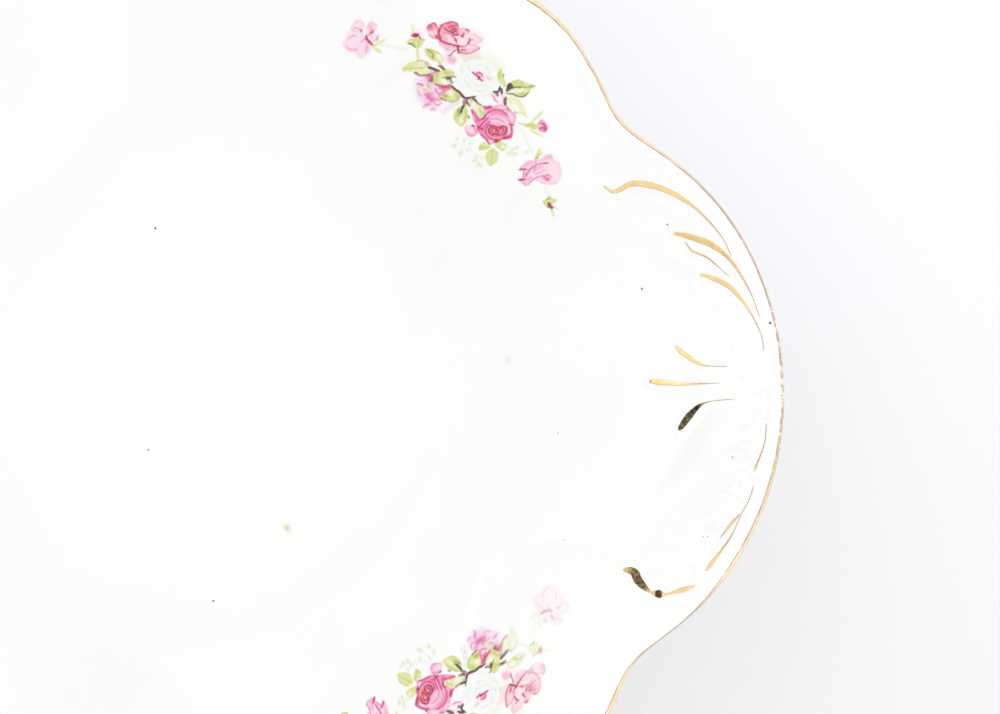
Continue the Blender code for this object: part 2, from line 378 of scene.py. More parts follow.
def add_bowl(material):
    """The porcelain body: floor, wall with its moulding, lip, outside and underside."""
    angle = np.linspace(0, 2 * np.pi, BOWL_COLUMNS, endpoint=False)
    inside = lobed(*inside_rows(), angle)
    x, y, z = np.moveaxis(inside, -1, 0)
    inside += wall_normal(x, y) * (relief(x, y) * (z > FLOOR_Z + RELIEF_FROM))[..., None]
    points = np.concatenate([inside, lobed(*outside_rows(), angle)])
    quads = sheet_faces(len(points), BOWL_COLUMNS, False, True)
    middles = len(points) * BOWL_COLUMNS
    last = middles - BOWL_COLUMNS
    ring = [(j, (j + 1) % BOWL_COLUMNS) for j in range(BOWL_COLUMNS)]
    fans = [(a, b, middles) for a, b in ring] + [(last + b, last + a, middles + 1) for a, b in ring]
    points = np.vstack([points.reshape(-1, 3), [0, 0, FLOOR_Z], [0, 0, BODY_LOW[2]]])
    mesh = make_mesh("bowl_porcelain", points, quads[:, ::-1], fans)
    return add_piece("bowl_porcelain", mesh, material, ["bowl_body"])


FOOT_COLUMNS = 360
FOOT_ROWS = 60
FOOT_SUNK = 0.05  # how far the ring's root reaches into the body


def add_foot(material):
    """The foot ring, rounded at its tread and flared where it meets the underside."""
    angle = np.linspace(0, 2 * np.pi, FOOT_COLUMNS, endpoint=False)
    under = BODY_LOW[2] + FOOT_SUNK
    top = FLOOR_RADIUS
    outline = np.array([
        (top + 1.6, under + 0.1), (top + 0.5, under - 0.5), (top - 0.1, under - 1.4), (top - 0.6, 1.6),
        (top - 0.9, 0.7), (top - 1.2, 0.2), (top - 1.7, 0.0), (top - 2.9, 0.0), (top - 3.4, 0.2),
        (top - 3.7, 0.7), (top - 4.3, 1.8), (top - 5.3, under - 1.3), (top - 6.2, under - 0.4),
        (top - 7.6, under),
    ])
    radius, z = (values[:, None] for values in smooth_route(outline, FOOT_ROWS).T)
    points = np.stack(np.broadcast_arrays(radius * np.cos(angle), radius * np.sin(angle), z), axis=-1)
    mesh = make_mesh("foot", points, sheet_faces(FOOT_ROWS, FOOT_COLUMNS, True, True)[:, ::-1])
    return add_piece("foot", mesh, material, ["foot_ring"])


# Width in plan of the gilt line round the lip, by degrees round the bowl. It was brushed on by hand.
GILT_WIDTHS = (
    (-42, 1.1), (-35, 1.1), (-32, 0.8), (-29, 0.4), (-25, 0.35), (-22, 0.65), (-20, 0.9), (-14, 0.95),
    (-8, 0.7), (-2, 0.6), (6, 0.5), (13, 0.45), (18, 0.5), (21, 0.62), (25, 0.85), (30, 1.0), (33, 0.95),
    (36, 0.75), (40, 0.7), (44, 1.1), (50, 1.5), (60, 1.4), (72, 1.0), (84, 0.7), (97, 0.8), (110, 1.3),
    (126, 1.0), (140, 1.4), (158, 1.2), (170, 0.7), (184, 0.6), (200, 1.0), (216, 1.3), (232, 0.8),
    (247, 1.3), (262, 0.8), (275, 0.6), (292, 1.1), (306, 1.4),
)
# How far the line is rubbed away, 0 to 1, by degrees.
GILT_WEAR = (
    (-20, 0.1), (-9, 0.35), (-2, 0.8), (8, 0.7), (16, 0.55), (24, 0.25), (45, 0.1), (75, 0.4), (95, 0.7),
    (120, 0.2), (165, 0.5), (185, 0.8), (205, 0.3), (250, 0.15), (270, 0.75), (300, 0.2),
)


def around(table, degrees):
    """A table of (degrees, value) read round the whole bowl, smoothly."""
    at, value = np.array(table, float).T
    plain = np.interp(degrees, at, value, period=360)
    before = np.interp(degrees - 2, at, value, period=360)
    after = np.interp(degrees + 2, at, value, period=360)
    return (before + 2 * plain + after) / 4


def ripple(t, seed, octaves=4):
    """Smooth noise from -1 to 1 along a line, the same each time for the same seed."""
    rng = np.random.default_rng(seed)
    total = np.zeros(np.shape(t))
    for octave in range(octaves):
        frequency = 2.0**octave * rng.uniform(0.9, 1.1)
        total += np.sin(2 * np.pi * (np.asarray(t) * frequency + rng.uniform())) / 1.5**octave
    return total / 2.5


GILT_COLUMNS = 2400
GILT_POINTS = 11  # across the line
GILT_FILM, GILT_CROWN = 0.012, 0.03  # height of the gold at its edges, and how much more along its middle
GILT_SUNK = 0.05  # how deep its underside lies in the glaze
GILT_OUTER = -18  # degrees round the lip to its outer edge, from the lip's outermost line


def add_gilt_line(material):
    """The line round the lip: a thin tube of gold whose inner edge wanders over the crest."""
    angle = np.linspace(0, 2 * np.pi, GILT_COLUMNS, endpoint=False)
    degrees = np.degrees(angle)
    unevenness = 1 + 0.06 * ripple(degrees / 9, 3) + 0.05 * ripple(degrees / 2.1, 4)
    width = around(GILT_WIDTHS, degrees) * unevenness
    inner = np.arccos(np.clip(1 - width / LIP_RADIUS, -0.8, 0.8))
    outer = np.radians(GILT_OUTER + 6 * ripple(degrees / 5, 5))
    across = np.linspace(0, 1, GILT_POINTS)
    back = across[::-2]
    ring_share = np.concatenate([across, back])
    crown = GILT_FILM + GILT_CROWN * np.sin(np.pi * across) ** 0.5
    ring_lift = np.concatenate([crown, np.full(len(back), -GILT_SUNK)])
    turn = inner[None, :] + (outer - inner)[None, :] * ring_share[:, None]
    radius, z = lip_points(LIP_RADIUS + ring_lift[:, None], turn)
    stretch = FLOOR_RADIUS + (radius - FLOOR_RADIUS) * lobe_stretch(angle)[None, :]
    points = np.stack([stretch * np.cos(angle), stretch * np.sin(angle), z], axis=-1)
    mesh = make_mesh("gilt_line", points, sheet_faces(len(points), GILT_COLUMNS, True, True))
    set_values(mesh, "wear", np.tile(around(GILT_WEAR, degrees), len(points)))
    edges = 1 - soft_step(ring_share, 0.04, 0.24) + 0.8 * soft_step(ring_share, 0.62, 0.86)
    edges = edges[:, None] * (1 + 0.45 * ripple(degrees / 3, 6))[None, :]
    set_values(mesh, "edge", np.maximum(edges, 0.8 * (1 - soft_step(width, 0.5, 0.9))[None, :]))
    return add_piece("gilt_line", mesh, material, ["rim_gilding"])


def turned(points, turn):
    """Plan points turned about the bowl's axis."""
    c, s = math.cos(turn), math.sin(turn)
    return points @ np.array([[c, s], [-s, c]])


BRUSH_TRIM = 0.25  # a stroke's gold is this much narrower than its place in the CAD
BRUSH_HAIR = 0.13  # width of its thinnest tail
BRUSH_FILM, BRUSH_CROWN = 0.05, 0.005  # height of the gold at its edges, and how much more along its middle
BRUSH_SUNK = 0.2  # how deep its underside lies in the glaze
BRUSH_STEPS = 12  # rows for each point of its route
BRUSH_POINTS = 7  # across it
BRUSH_WANDER = 0.10  # how far its edges wander, as a share of its half width


def add_brush_stroke(name, route, turn, seed, painted_dark_reflection, material):
    """One stroke: a low ridge of gold with wandering edges, sunk a little into the glaze underneath."""
    count = BRUSH_STEPS * len(route)
    line = smooth_route(route, count)
    heading = np.gradient(line[:, :2], axis=0)
    heading /= np.linalg.norm(heading, axis=1, keepdims=True)
    left = np.stack([-heading[:, 1], heading[:, 0]], axis=1)
    share = np.linspace(0, 1, count)
    taper = np.clip(np.minimum(share, 1 - share) * count / 3, 0.15, 1) ** 0.5
    width = np.maximum(line[:, 2] - BRUSH_TRIM, BRUSH_HAIR)
    across = np.linspace(-1, 1, BRUSH_POINTS)
    back = across[::-2]
    ring_across = np.concatenate([across, back])
    ring_lift = np.concatenate([BRUSH_FILM + BRUSH_CROWN * (1 - across**2), np.full(len(back), -BRUSH_SUNK)])
    edge = 1 + BRUSH_WANDER * ripple(share * 3, seed)[:, None] * (ring_across[None, :] > 0)
    edge += BRUSH_WANDER * ripple(share * 3, seed + 1)[:, None] * (ring_across[None, :] < 0)
    sideways = (width / 2 * taper)[:, None] * ring_across[None, :] * edge
    plan = turned(line[:, None, :2] + left[:, None, :] * sideways[..., None], turn)
    points = over_wall(plan[..., 0], plan[..., 1], np.broadcast_to(ring_lift, plan.shape[:2]))
    ring = len(ring_across)
    quads = sheet_faces(count, ring, False, True)
    ends = (range(ring - 1, -1, -1), range((count - 1) * ring, count * ring))
    mesh = make_mesh(name, points, quads[:, ::-1], ends)
    # Painted dark reflection: how much the gold's colour is darkened along the stroke.
    set_values(mesh, "painted_dark_reflection", np.repeat(np.interp(share, *zip(*painted_dark_reflection)), ring))
    thin = 0.9 * (1 - soft_step(width, BRUSH_HAIR, 4 * BRUSH_HAIR))
    set_values(mesh, "edge", np.maximum(thin[:, None], 0.35 * np.abs(ring_across) ** 4))
    return add_piece(name, mesh, material, [name])


# How much painted dark reflection some strokes of the east lobe carry, as (share of the way along, amount).
# Their gold is darkened in colour there, standing in for the dark surroundings it mirrors.
PAINTED_DARK_REFLECTIONS = {
    "right_petal": ((0.0, 1.0), (0.5, 1.0), (0.62, 0.0)),
    "middle_petal": ((0.0, 0.7), (0.05, 0.5), (0.12, 0.0)),
    "lower_scroll": (
        (0.0, 0.0), (0.31, 0.0), (0.33, 1.3), (0.42, 1.3), (0.44, 0.3), (0.52, 0.2), (0.6, 0.75), (0.7, 0.95),
        (0.88, 0.9), (0.95, 0.3),
    ),
}
BRIGHT = ((0.0, 0.0),)


def add_brush_strokes(material):
    for index, lobe in enumerate(LOBES):
        for number, (stroke, route) in enumerate(STROKES.items()):
            # Only the east lobe's strokes get painted dark reflection.
            painted_dark_reflection = PAINTED_DARK_REFLECTIONS.get(stroke, BRIGHT) if lobe == "east" else BRIGHT
            name, seed = f"gilt_{stroke}_{lobe}", 40 * index + number
            add_brush_stroke(name, route, index * QUARTER, seed, painted_dark_reflection, material)


# ---------------------------------------------------------------- the printed roses

# Inks of the print, as sRGB and how strongly they cover.
INKS = {
    "crimson": (184, 44, 82, 0.9), "rose": (206, 66, 106, 0.85), "coral": (232, 122, 146, 0.8),
    "salmon": (244, 168, 184, 0.85), "petal": (250, 205, 216, 0.95), "shell": (253, 228, 235, 0.95),
    "magenta": (196, 42, 104, 0.9), "cerise": (214, 74, 136, 0.85), "pink": (238, 128, 178, 0.8),
    "candy": (247, 178, 208, 0.9), "blush": (251, 216, 232, 0.9), "lilac": (247, 222, 246, 0.55),
    "orchid": (222, 108, 172, 0.75), "mauve": (214, 150, 182, 0.6), "plum": (128, 40, 72, 0.85),
    "haze": (251, 222, 237, 0.85), "white": (254, 254, 253, 1.0), "cream": (252, 252, 238, 0.9),
    "mint": (226, 243, 234, 0.42), "sage": (204, 220, 208, 0.36), "pale_leaf": (238, 240, 194, 0.82),
    "leaf": (225, 230, 156, 0.88), "green": (192, 203, 104, 0.65), "moss": (146, 158, 82, 0.7),
    "olive": (112, 112, 56, 0.8), "bark": (86, 52, 56, 0.92), "brown": (146, 100, 84, 0.75),
    "tan": (198, 170, 150, 0.6),
    "peach": (242, 216, 200, 0.55), "lemon": (238, 243, 208, 0.5), "sprig": (216, 228, 176, 0.7),
    "mist": (228, 236, 216, 0.6),
}

# The print, in mm from the white rose's heart. Each row is a kind of mark, its ink, its size and its points:
# a fill has a soft edge of that size, a line that width, and a wash that radius.
# Later marks cover earlier ones.
PALE_ROSE = (
    ("fill", "haze", 0.5, (-31.4, 8.1), (-30.6, 9.1), (-30.2, 10.3), (-29.0, 11.0), (-27.2, 10.8),
     (-26.0, 9.2), (-26.4, 7.4), (-28.2, 6.7), (-29.9, 6.4), (-30.9, 7.2)),
    ("wash", "shell", 1.3, (-28.8, 9.4), (-28.2, 8.2)),
    ("fill", "haze", 0.4, (-29.4, 11.1), (-28.8, 12.5), (-28.0, 13.1), (-27.0, 13.0), (-26.2, 12.1),
     (-26.3, 10.9), (-26.8, 10.1), (-28.2, 10.5)),
    ("fill", "haze", 0.4, (-25.9, 10.1), (-25.7, 11.6), (-24.9, 12.6), (-24.0, 12.3), (-23.2, 11.6),
     (-23.7, 10.6), (-24.6, 9.9)),
    ("wash", "candy", 0.5, (-24.9, 11.6), (-24.5, 10.8)),
    ("fill", "haze", 0.35, (-25.0, 9.7), (-24.2, 10.0), (-23.2, 9.6), (-22.9, 8.8), (-23.6, 8.2),
     (-24.4, 8.3)),
    ("wash", "mauve", 0.3, (-23.1, 9.2), (-23.5, 8.5)),
    ("fill", "haze", 0.5, (-28.7, 6.8), (-28.4, 5.5), (-27.3, 4.8), (-26.2, 5.1), (-25.2, 6.2),
     (-24.5, 7.4), (-25.6, 8.6), (-27.4, 7.9)),
    ("wash", "lilac", 1.5, (-27.2, 7.6), (-26.4, 7.2)),
    ("wash", "candy", 0.35, (-25.6, 7.6), (-26.0, 6.0)),
    ("wash", "candy", 0.3, (-30.4, 7.4), (-29.4, 6.7), (-28.0, 6.8)),
    ("line", "mauve", 0.4, (-28.6, 11.5), (-27.4, 11.1), (-26.9, 10.6)),
    ("wash", "rose", 0.2, (-27.1, 10.9), (-26.95, 10.75)),
    ("line", "mauve", 0.35, (-30.0, 9.0), (-29.2, 9.6), (-28.2, 9.9)),
    ("line", "mauve", 0.35, (-27.1, 8.2), (-26.6, 8.7), (-25.9, 9.0)),
    ("line", "coral", 0.3, (-25.7, 9.5), (-25.0, 9.8), (-24.5, 10.3)),
    ("wash", "rose", 0.28, (-24.7, 10.1), (-24.3, 10.4)),
    ("line", "rose", 0.55, (-25.8, 9.8), (-25.7, 9.0), (-25.1, 8.3), (-24.3, 7.4)),
    ("line", "rose", 0.4, (-26.2, 9.2), (-25.5, 8.5), (-25.3, 8.0)),
    ("wash", "crimson", 0.22, (-25.1, 8.3), (-25.0, 8.1)),
    ("wash", "crimson", 0.2, (-24.6, 7.9), (-24.4, 7.6)),
    ("line", "leaf", 0.55, (-24.4, 7.3), (-23.2, 7.7), (-21.5, 8.5)),
    ("line", "leaf", 0.6, (-24.3, 7.2), (-23.3, 6.4), (-22.4, 5.8)),
    ("line", "mist", 0.3, (-23.8, 7.5), (-20.0, 6.9), (-16.4, 6.1)),
)
RED_BUD = (
    ("line", "pale_leaf", 0.7, (-15.4, 11.4), (-15.2, 10.6), (-14.8, 9.8)),
    ("fill", "leaf", 0.3, (-16.5, 7.6), (-15.7, 8.4), (-15.0, 8.2), (-14.8, 7.3), (-15.6, 7.2)),
    ("fill", "leaf", 0.35, (-15.0, 8.3), (-14.2, 8.5), (-13.1, 8.4), (-12.9, 7.3), (-13.8, 6.2),
     (-14.7, 6.7)),
    ("line", "leaf", 0.7, (-14.2, 6.8), (-14.1, 5.2), (-13.9, 4.0)),
    ("line", "olive", 0.35, (-16.3, 7.4), (-15.3, 7.2), (-14.6, 6.5)),
    ("line", "green", 0.5, (-14.5, 8.2), (-13.8, 7.6), (-14.0, 6.6)),
    ("wash", "petal", 0.7, (-15.0, 9.2), (-13.9, 9.1)),
    ("fill", "crimson", 0.3, (-15.4, 8.9), (-15.0, 9.4), (-14.2, 9.5), (-13.7, 9.2), (-13.8, 8.8),
     (-14.6, 8.6)),
    ("wash", "crimson", 0.2, (-13.6, 8.6), (-13.4, 8.4)),
    ("line", "moss", 0.4, (-13.0, 8.1), (-12.4, 7.9)),
)
RED_ROSE = (
    ("wash", "shell", 0.9, (-7.8, 6.6), (-6.8, 5.6), (-7.0, 4.2), (-6.2, 3.6)),
    ("wash", "lilac", 0.9, (-7.4, 5.2), (-6.2, 3.9)),
    ("wash", "candy", 0.7, (-6.6, 3.7), (-6.0, 3.4)),
    ("fill", "peach", 0.7, (-5.2, 5.0), (-3.0, 4.6), (-0.8, 4.8), (0.6, 3.7), (-0.8, 3.0), (-2.6, 2.6),
     (-4.4, 4.0)),
    ("fill", "blush", 0.3, (-9.5, 7.8), (-7.8, 7.1), (-5.4, 6.5), (-5.2, 5.6), (-6.6, 5.6), (-7.9, 5.9),
     (-9.0, 6.7)),
    ("wash", "candy", 0.3, (-8.6, 7.2), (-7.2, 6.5), (-6.0, 6.2)),
    ("line", "mauve", 0.3, (-8.0, 6.1), (-6.8, 5.7)),
    ("fill", "petal", 0.25, (-11.95, 10.6), (-11.2, 11.2), (-10.3, 11.5), (-9.6, 10.9), (-9.0, 10.2),
     (-9.1, 9.0), (-9.0, 8.0), (-10.2, 8.2), (-11.4, 8.9), (-11.8, 9.8)),
    ("wash", "rose", 0.45, (-11.4, 10.5), (-10.9, 10.6)),
    ("wash", "pink", 0.4, (-11.6, 10.4), (-10.6, 10.2)),
    ("wash", "lilac", 0.5, (-11.0, 9.4), (-10.6, 9.0)),
    ("wash", "coral", 0.3, (-10.2, 11.1), (-9.8, 10.6), (-9.4, 9.8)),
    ("line", "rose", 0.3, (-11.9, 10.5), (-11.1, 11.1), (-10.3, 11.4), (-9.7, 10.9)),
    ("line", "mauve", 0.45, (-11.6, 9.2), (-11.0, 8.7), (-10.2, 8.3)),
    ("wash", "rose", 0.35, (-9.8, 8.7), (-9.4, 8.4)),
    ("fill", "salmon", 0.25, (-8.7, 10.7), (-7.8, 11.2), (-6.6, 11.5), (-5.4, 11.3), (-4.8, 10.6),
     (-4.8, 9.6), (-4.6, 8.8), (-5.6, 8.7), (-6.8, 9.3), (-7.8, 10.0)),
    ("wash", "coral", 0.3, (-7.0, 10.9), (-5.6, 10.4)),
    ("fill", "petal", 0.2, (-8.9, 10.9), (-8.0, 10.2), (-6.9, 9.4), (-5.9, 8.7), (-5.5, 7.6), (-5.0, 6.9),
     (-4.9, 6.4), (-6.3, 6.7), (-7.6, 7.2), (-9.0, 7.9), (-9.3, 9.0), (-9.1, 10.0)),
    ("wash", "salmon", 0.5, (-8.3, 9.6), (-8.2, 8.6), (-7.6, 8.0)),
    ("wash", "shell", 0.5, (-6.9, 8.5), (-6.1, 7.6), (-5.8, 7.1)),
    ("line", "coral", 0.35, (-8.2, 9.5), (-7.2, 9.1), (-6.6, 8.9)),
    ("wash", "rose", 0.3, (-8.7, 10.8), (-8.5, 10.5)),
    ("line", "crimson", 0.5, (-8.9, 10.4), (-9.2, 9.6), (-9.2, 9.0), (-8.8, 8.2)),
    ("line", "rose", 0.5, (-9.1, 9.9), (-9.3, 9.2), (-9.0, 8.5), (-8.7, 8.1)),
    ("line", "rose", 0.35, (-8.6, 10.9), (-7.4, 11.3), (-6.0, 11.4), (-5.1, 11.0), (-4.9, 10.2)),
    ("line", "coral", 0.3, (-7.8, 10.4), (-6.8, 10.8), (-5.6, 10.9)),
    ("line", "rose", 0.35, (-7.2, 10.2), (-6.4, 10.5), (-5.2, 10.7)),
    ("line", "crimson", 0.4, (-8.1, 10.2), (-7.4, 9.8), (-6.6, 9.4), (-6.0, 9.0)),
    ("line", "crimson", 0.35, (-6.7, 9.7), (-6.2, 10.0), (-5.6, 10.0), (-5.1, 9.7)),
    ("line", "rose", 0.3, (-6.4, 9.4), (-5.9, 9.7), (-5.3, 9.6)),
    ("line", "crimson", 0.3, (-6.3, 9.2), (-5.7, 9.4), (-5.1, 9.3)),
    ("line", "crimson", 0.4, (-6.0, 8.8), (-5.4, 8.75), (-4.7, 8.8)),
    ("wash", "coral", 0.35, (-4.8, 9.8), (-4.5, 9.3)),
    ("line", "rose", 0.3, (-6.4, 8.9), (-6.0, 8.3)),
    ("line", "coral", 0.6, (-5.8, 8.4), (-5.5, 7.8), (-5.1, 7.1)),
    ("wash", "rose", 0.25, (-5.5, 7.9), (-5.2, 7.4)),
    ("fill", "petal", 0.25, (-4.7, 9.9), (-3.8, 10.2), (-2.9, 10.0), (-2.3, 9.5), (-2.4, 8.9), (-3.2, 8.6),
     (-4.0, 8.2), (-4.6, 8.7)),
    ("wash", "rose", 0.22, (-3.0, 9.7), (-2.6, 9.5)),
    ("line", "coral", 0.3, (-3.4, 9.9), (-2.6, 9.7), (-2.4, 9.0)),
    ("line", "rose", 0.35, (-4.5, 8.5), (-4.0, 8.5), (-3.6, 9.2)),
    ("wash", "rose", 0.25, (-4.2, 8.4), (-3.8, 8.3)),
    ("fill", "shell", 0.25, (-5.0, 8.5), (-4.0, 8.2), (-3.0, 8.4), (-2.2, 8.1), (-2.2, 7.3), (-2.9, 6.6),
     (-4.0, 6.2), (-5.0, 6.4)),
    ("fill", "shell", 0.35, (-2.4, 8.9), (-1.3, 9.0), (0.0, 8.1), (0.6, 7.5), (-0.1, 7.0), (-1.3, 6.6),
     (-2.6, 6.5)),
    ("wash", "petal", 0.4, (-1.2, 8.6), (0.2, 7.8), (0.2, 7.4), (-0.8, 7.0)),
    ("fill", "petal", 0.25, (-5.0, 6.4), (-3.6, 6.3), (-2.4, 6.8), (-1.2, 6.6), (0.0, 6.1), (-0.1, 5.7),
     (-1.2, 5.2), (-2.6, 4.8), (-4.0, 5.0), (-4.9, 5.1)),
    ("wash", "shell", 0.35, (-3.2, 6.2), (-1.4, 6.1)),
    ("line", "rose", 0.5, (-2.3, 8.0), (-2.4, 7.3), (-2.9, 6.7)),
    ("wash", "coral", 0.22, (-2.2, 7.6), (-1.7, 7.6)),
    ("line", "coral", 0.3, (-2.9, 6.6), (-3.6, 6.3), (-4.4, 6.3)),
    ("line", "crimson", 0.4, (-9.7, 8.4), (-8.6, 7.6), (-7.4, 7.1), (-6.0, 6.7), (-5.0, 6.5), (-4.2, 6.3)),
    ("line", "rose", 0.35, (-9.9, 8.5), (-8.8, 7.8), (-7.6, 7.3)),
    ("line", "crimson", 0.5, (-5.0, 6.6), (-5.0, 5.8), (-4.7, 5.1)),
    ("line", "rose", 0.35, (-5.1, 5.8), (-4.2, 5.6), (-3.2, 5.6)),
    ("line", "coral", 0.35, (-4.8, 5.1), (-3.3, 4.8), (-2.1, 4.9), (-1.0, 5.3), (-0.1, 5.8)),
    ("wash", "brown", 0.2, (-4.9, 5.1), (-4.3, 5.0)),
    ("wash", "mauve", 0.2, (-3.2, 4.8), (-2.5, 4.8)),
    ("wash", "coral", 0.15, (-0.4, 5.6), (-0.1, 5.9)),
    ("line", "brown", 0.35, (-7.3, 4.6), (-6.6, 4.6), (-6.2, 5.2), (-5.4, 5.6)),
    ("wash", "tan", 0.25, (-3.2, 3.2), (-3.0, 2.2)),
)
CLUSTER = (
    ("fill", "lilac", 0.9, (-15.2, -1.0), (-14.2, 1.0), (-11.4, 1.0), (-9.0, -1.0), (-8.6, -4.0),
     (-8.8, -6.0), (-10.4, -6.9), (-12.6, -6.5), (-14.4, -5.0), (-15.0, -3.0)),
    ("fill", "blush", 0.8, (-14.4, -1.4), (-12.4, 0.4), (-10.4, 0.0), (-8.8, -2.0), (-8.8, -5.4),
     (-10.6, -6.4), (-12.8, -5.6), (-14.2, -3.6)),
    ("wash", "shell", 0.8, (-12.8, -2.4), (-11.6, -2.8)),
    ("line", "orchid", 0.5, (-14.4, -1.1), (-13.6, -1.3), (-12.9, -1.7)),
    ("line", "mauve", 0.4, (-14.2, -2.6), (-13.9, -3.4), (-13.2, -4.0)),
    ("line", "mauve", 0.3, (-13.2, -2.4), (-12.2, -2.6), (-11.6, -2.9)),
    ("wash", "pink", 0.4, (-12.6, -3.5), (-11.2, -3.4)),
    ("wash", "pink", 0.6, (-11.8, -4.0), (-11.2, -4.6)),
    ("wash", "orchid", 0.4, (-11.7, -4.1), (-10.8, -4.7)),
    ("wash", "pink", 0.45, (-10.8, -4.6), (-9.4, -4.9)),
    ("wash", "orchid", 0.3, (-12.3, -5.7), (-11.6, -5.6)),
    ("wash", "mauve", 0.3, (-12.9, -6.1), (-12.2, -5.9)),
    ("line", "orchid", 0.3, (-10.6, -5.3), (-9.8, -5.9), (-8.8, -5.4)),
    ("wash", "shell", 0.35, (-9.9, -5.2), (-9.3, -5.3)),
    ("line", "orchid", 0.4, (-10.2, -2.2), (-10.0, -2.9), (-9.4, -3.6)),
    ("line", "mauve", 0.3, (-10.6, -3.0), (-10.8, -3.8)),
    ("wash", "mauve", 0.3, (-11.2, -6.7), (-10.4, -6.8)),
    ("wash", "lilac", 0.6, (-8.6, -7.2), (-7.6, -6.8), (-6.4, -6.2)),
    ("fill", "pink", 0.35, (-9.6, -1.6), (-7.0, -1.8), (-6.6, -2.4), (-7.7, -3.0), (-8.6, -3.7),
     (-9.5, -4.0), (-9.2, -3.0)),
    ("wash", "rose", 0.3, (-8.6, -2.1), (-7.2, -2.2)),
    ("wash", "white", 0.28, (-9.2, -2.7), (-9.0, -2.9)),
    ("wash", "cerise", 0.7, (-11.6, 0.5), (-11.2, -0.1)),
    ("wash", "orchid", 0.5, (-10.8, 1.2), (-10.0, 1.2)),
    ("wash", "plum", 0.3, (-11.5, -0.7), (-10.9, -0.6), (-10.8, 0.2)),
)
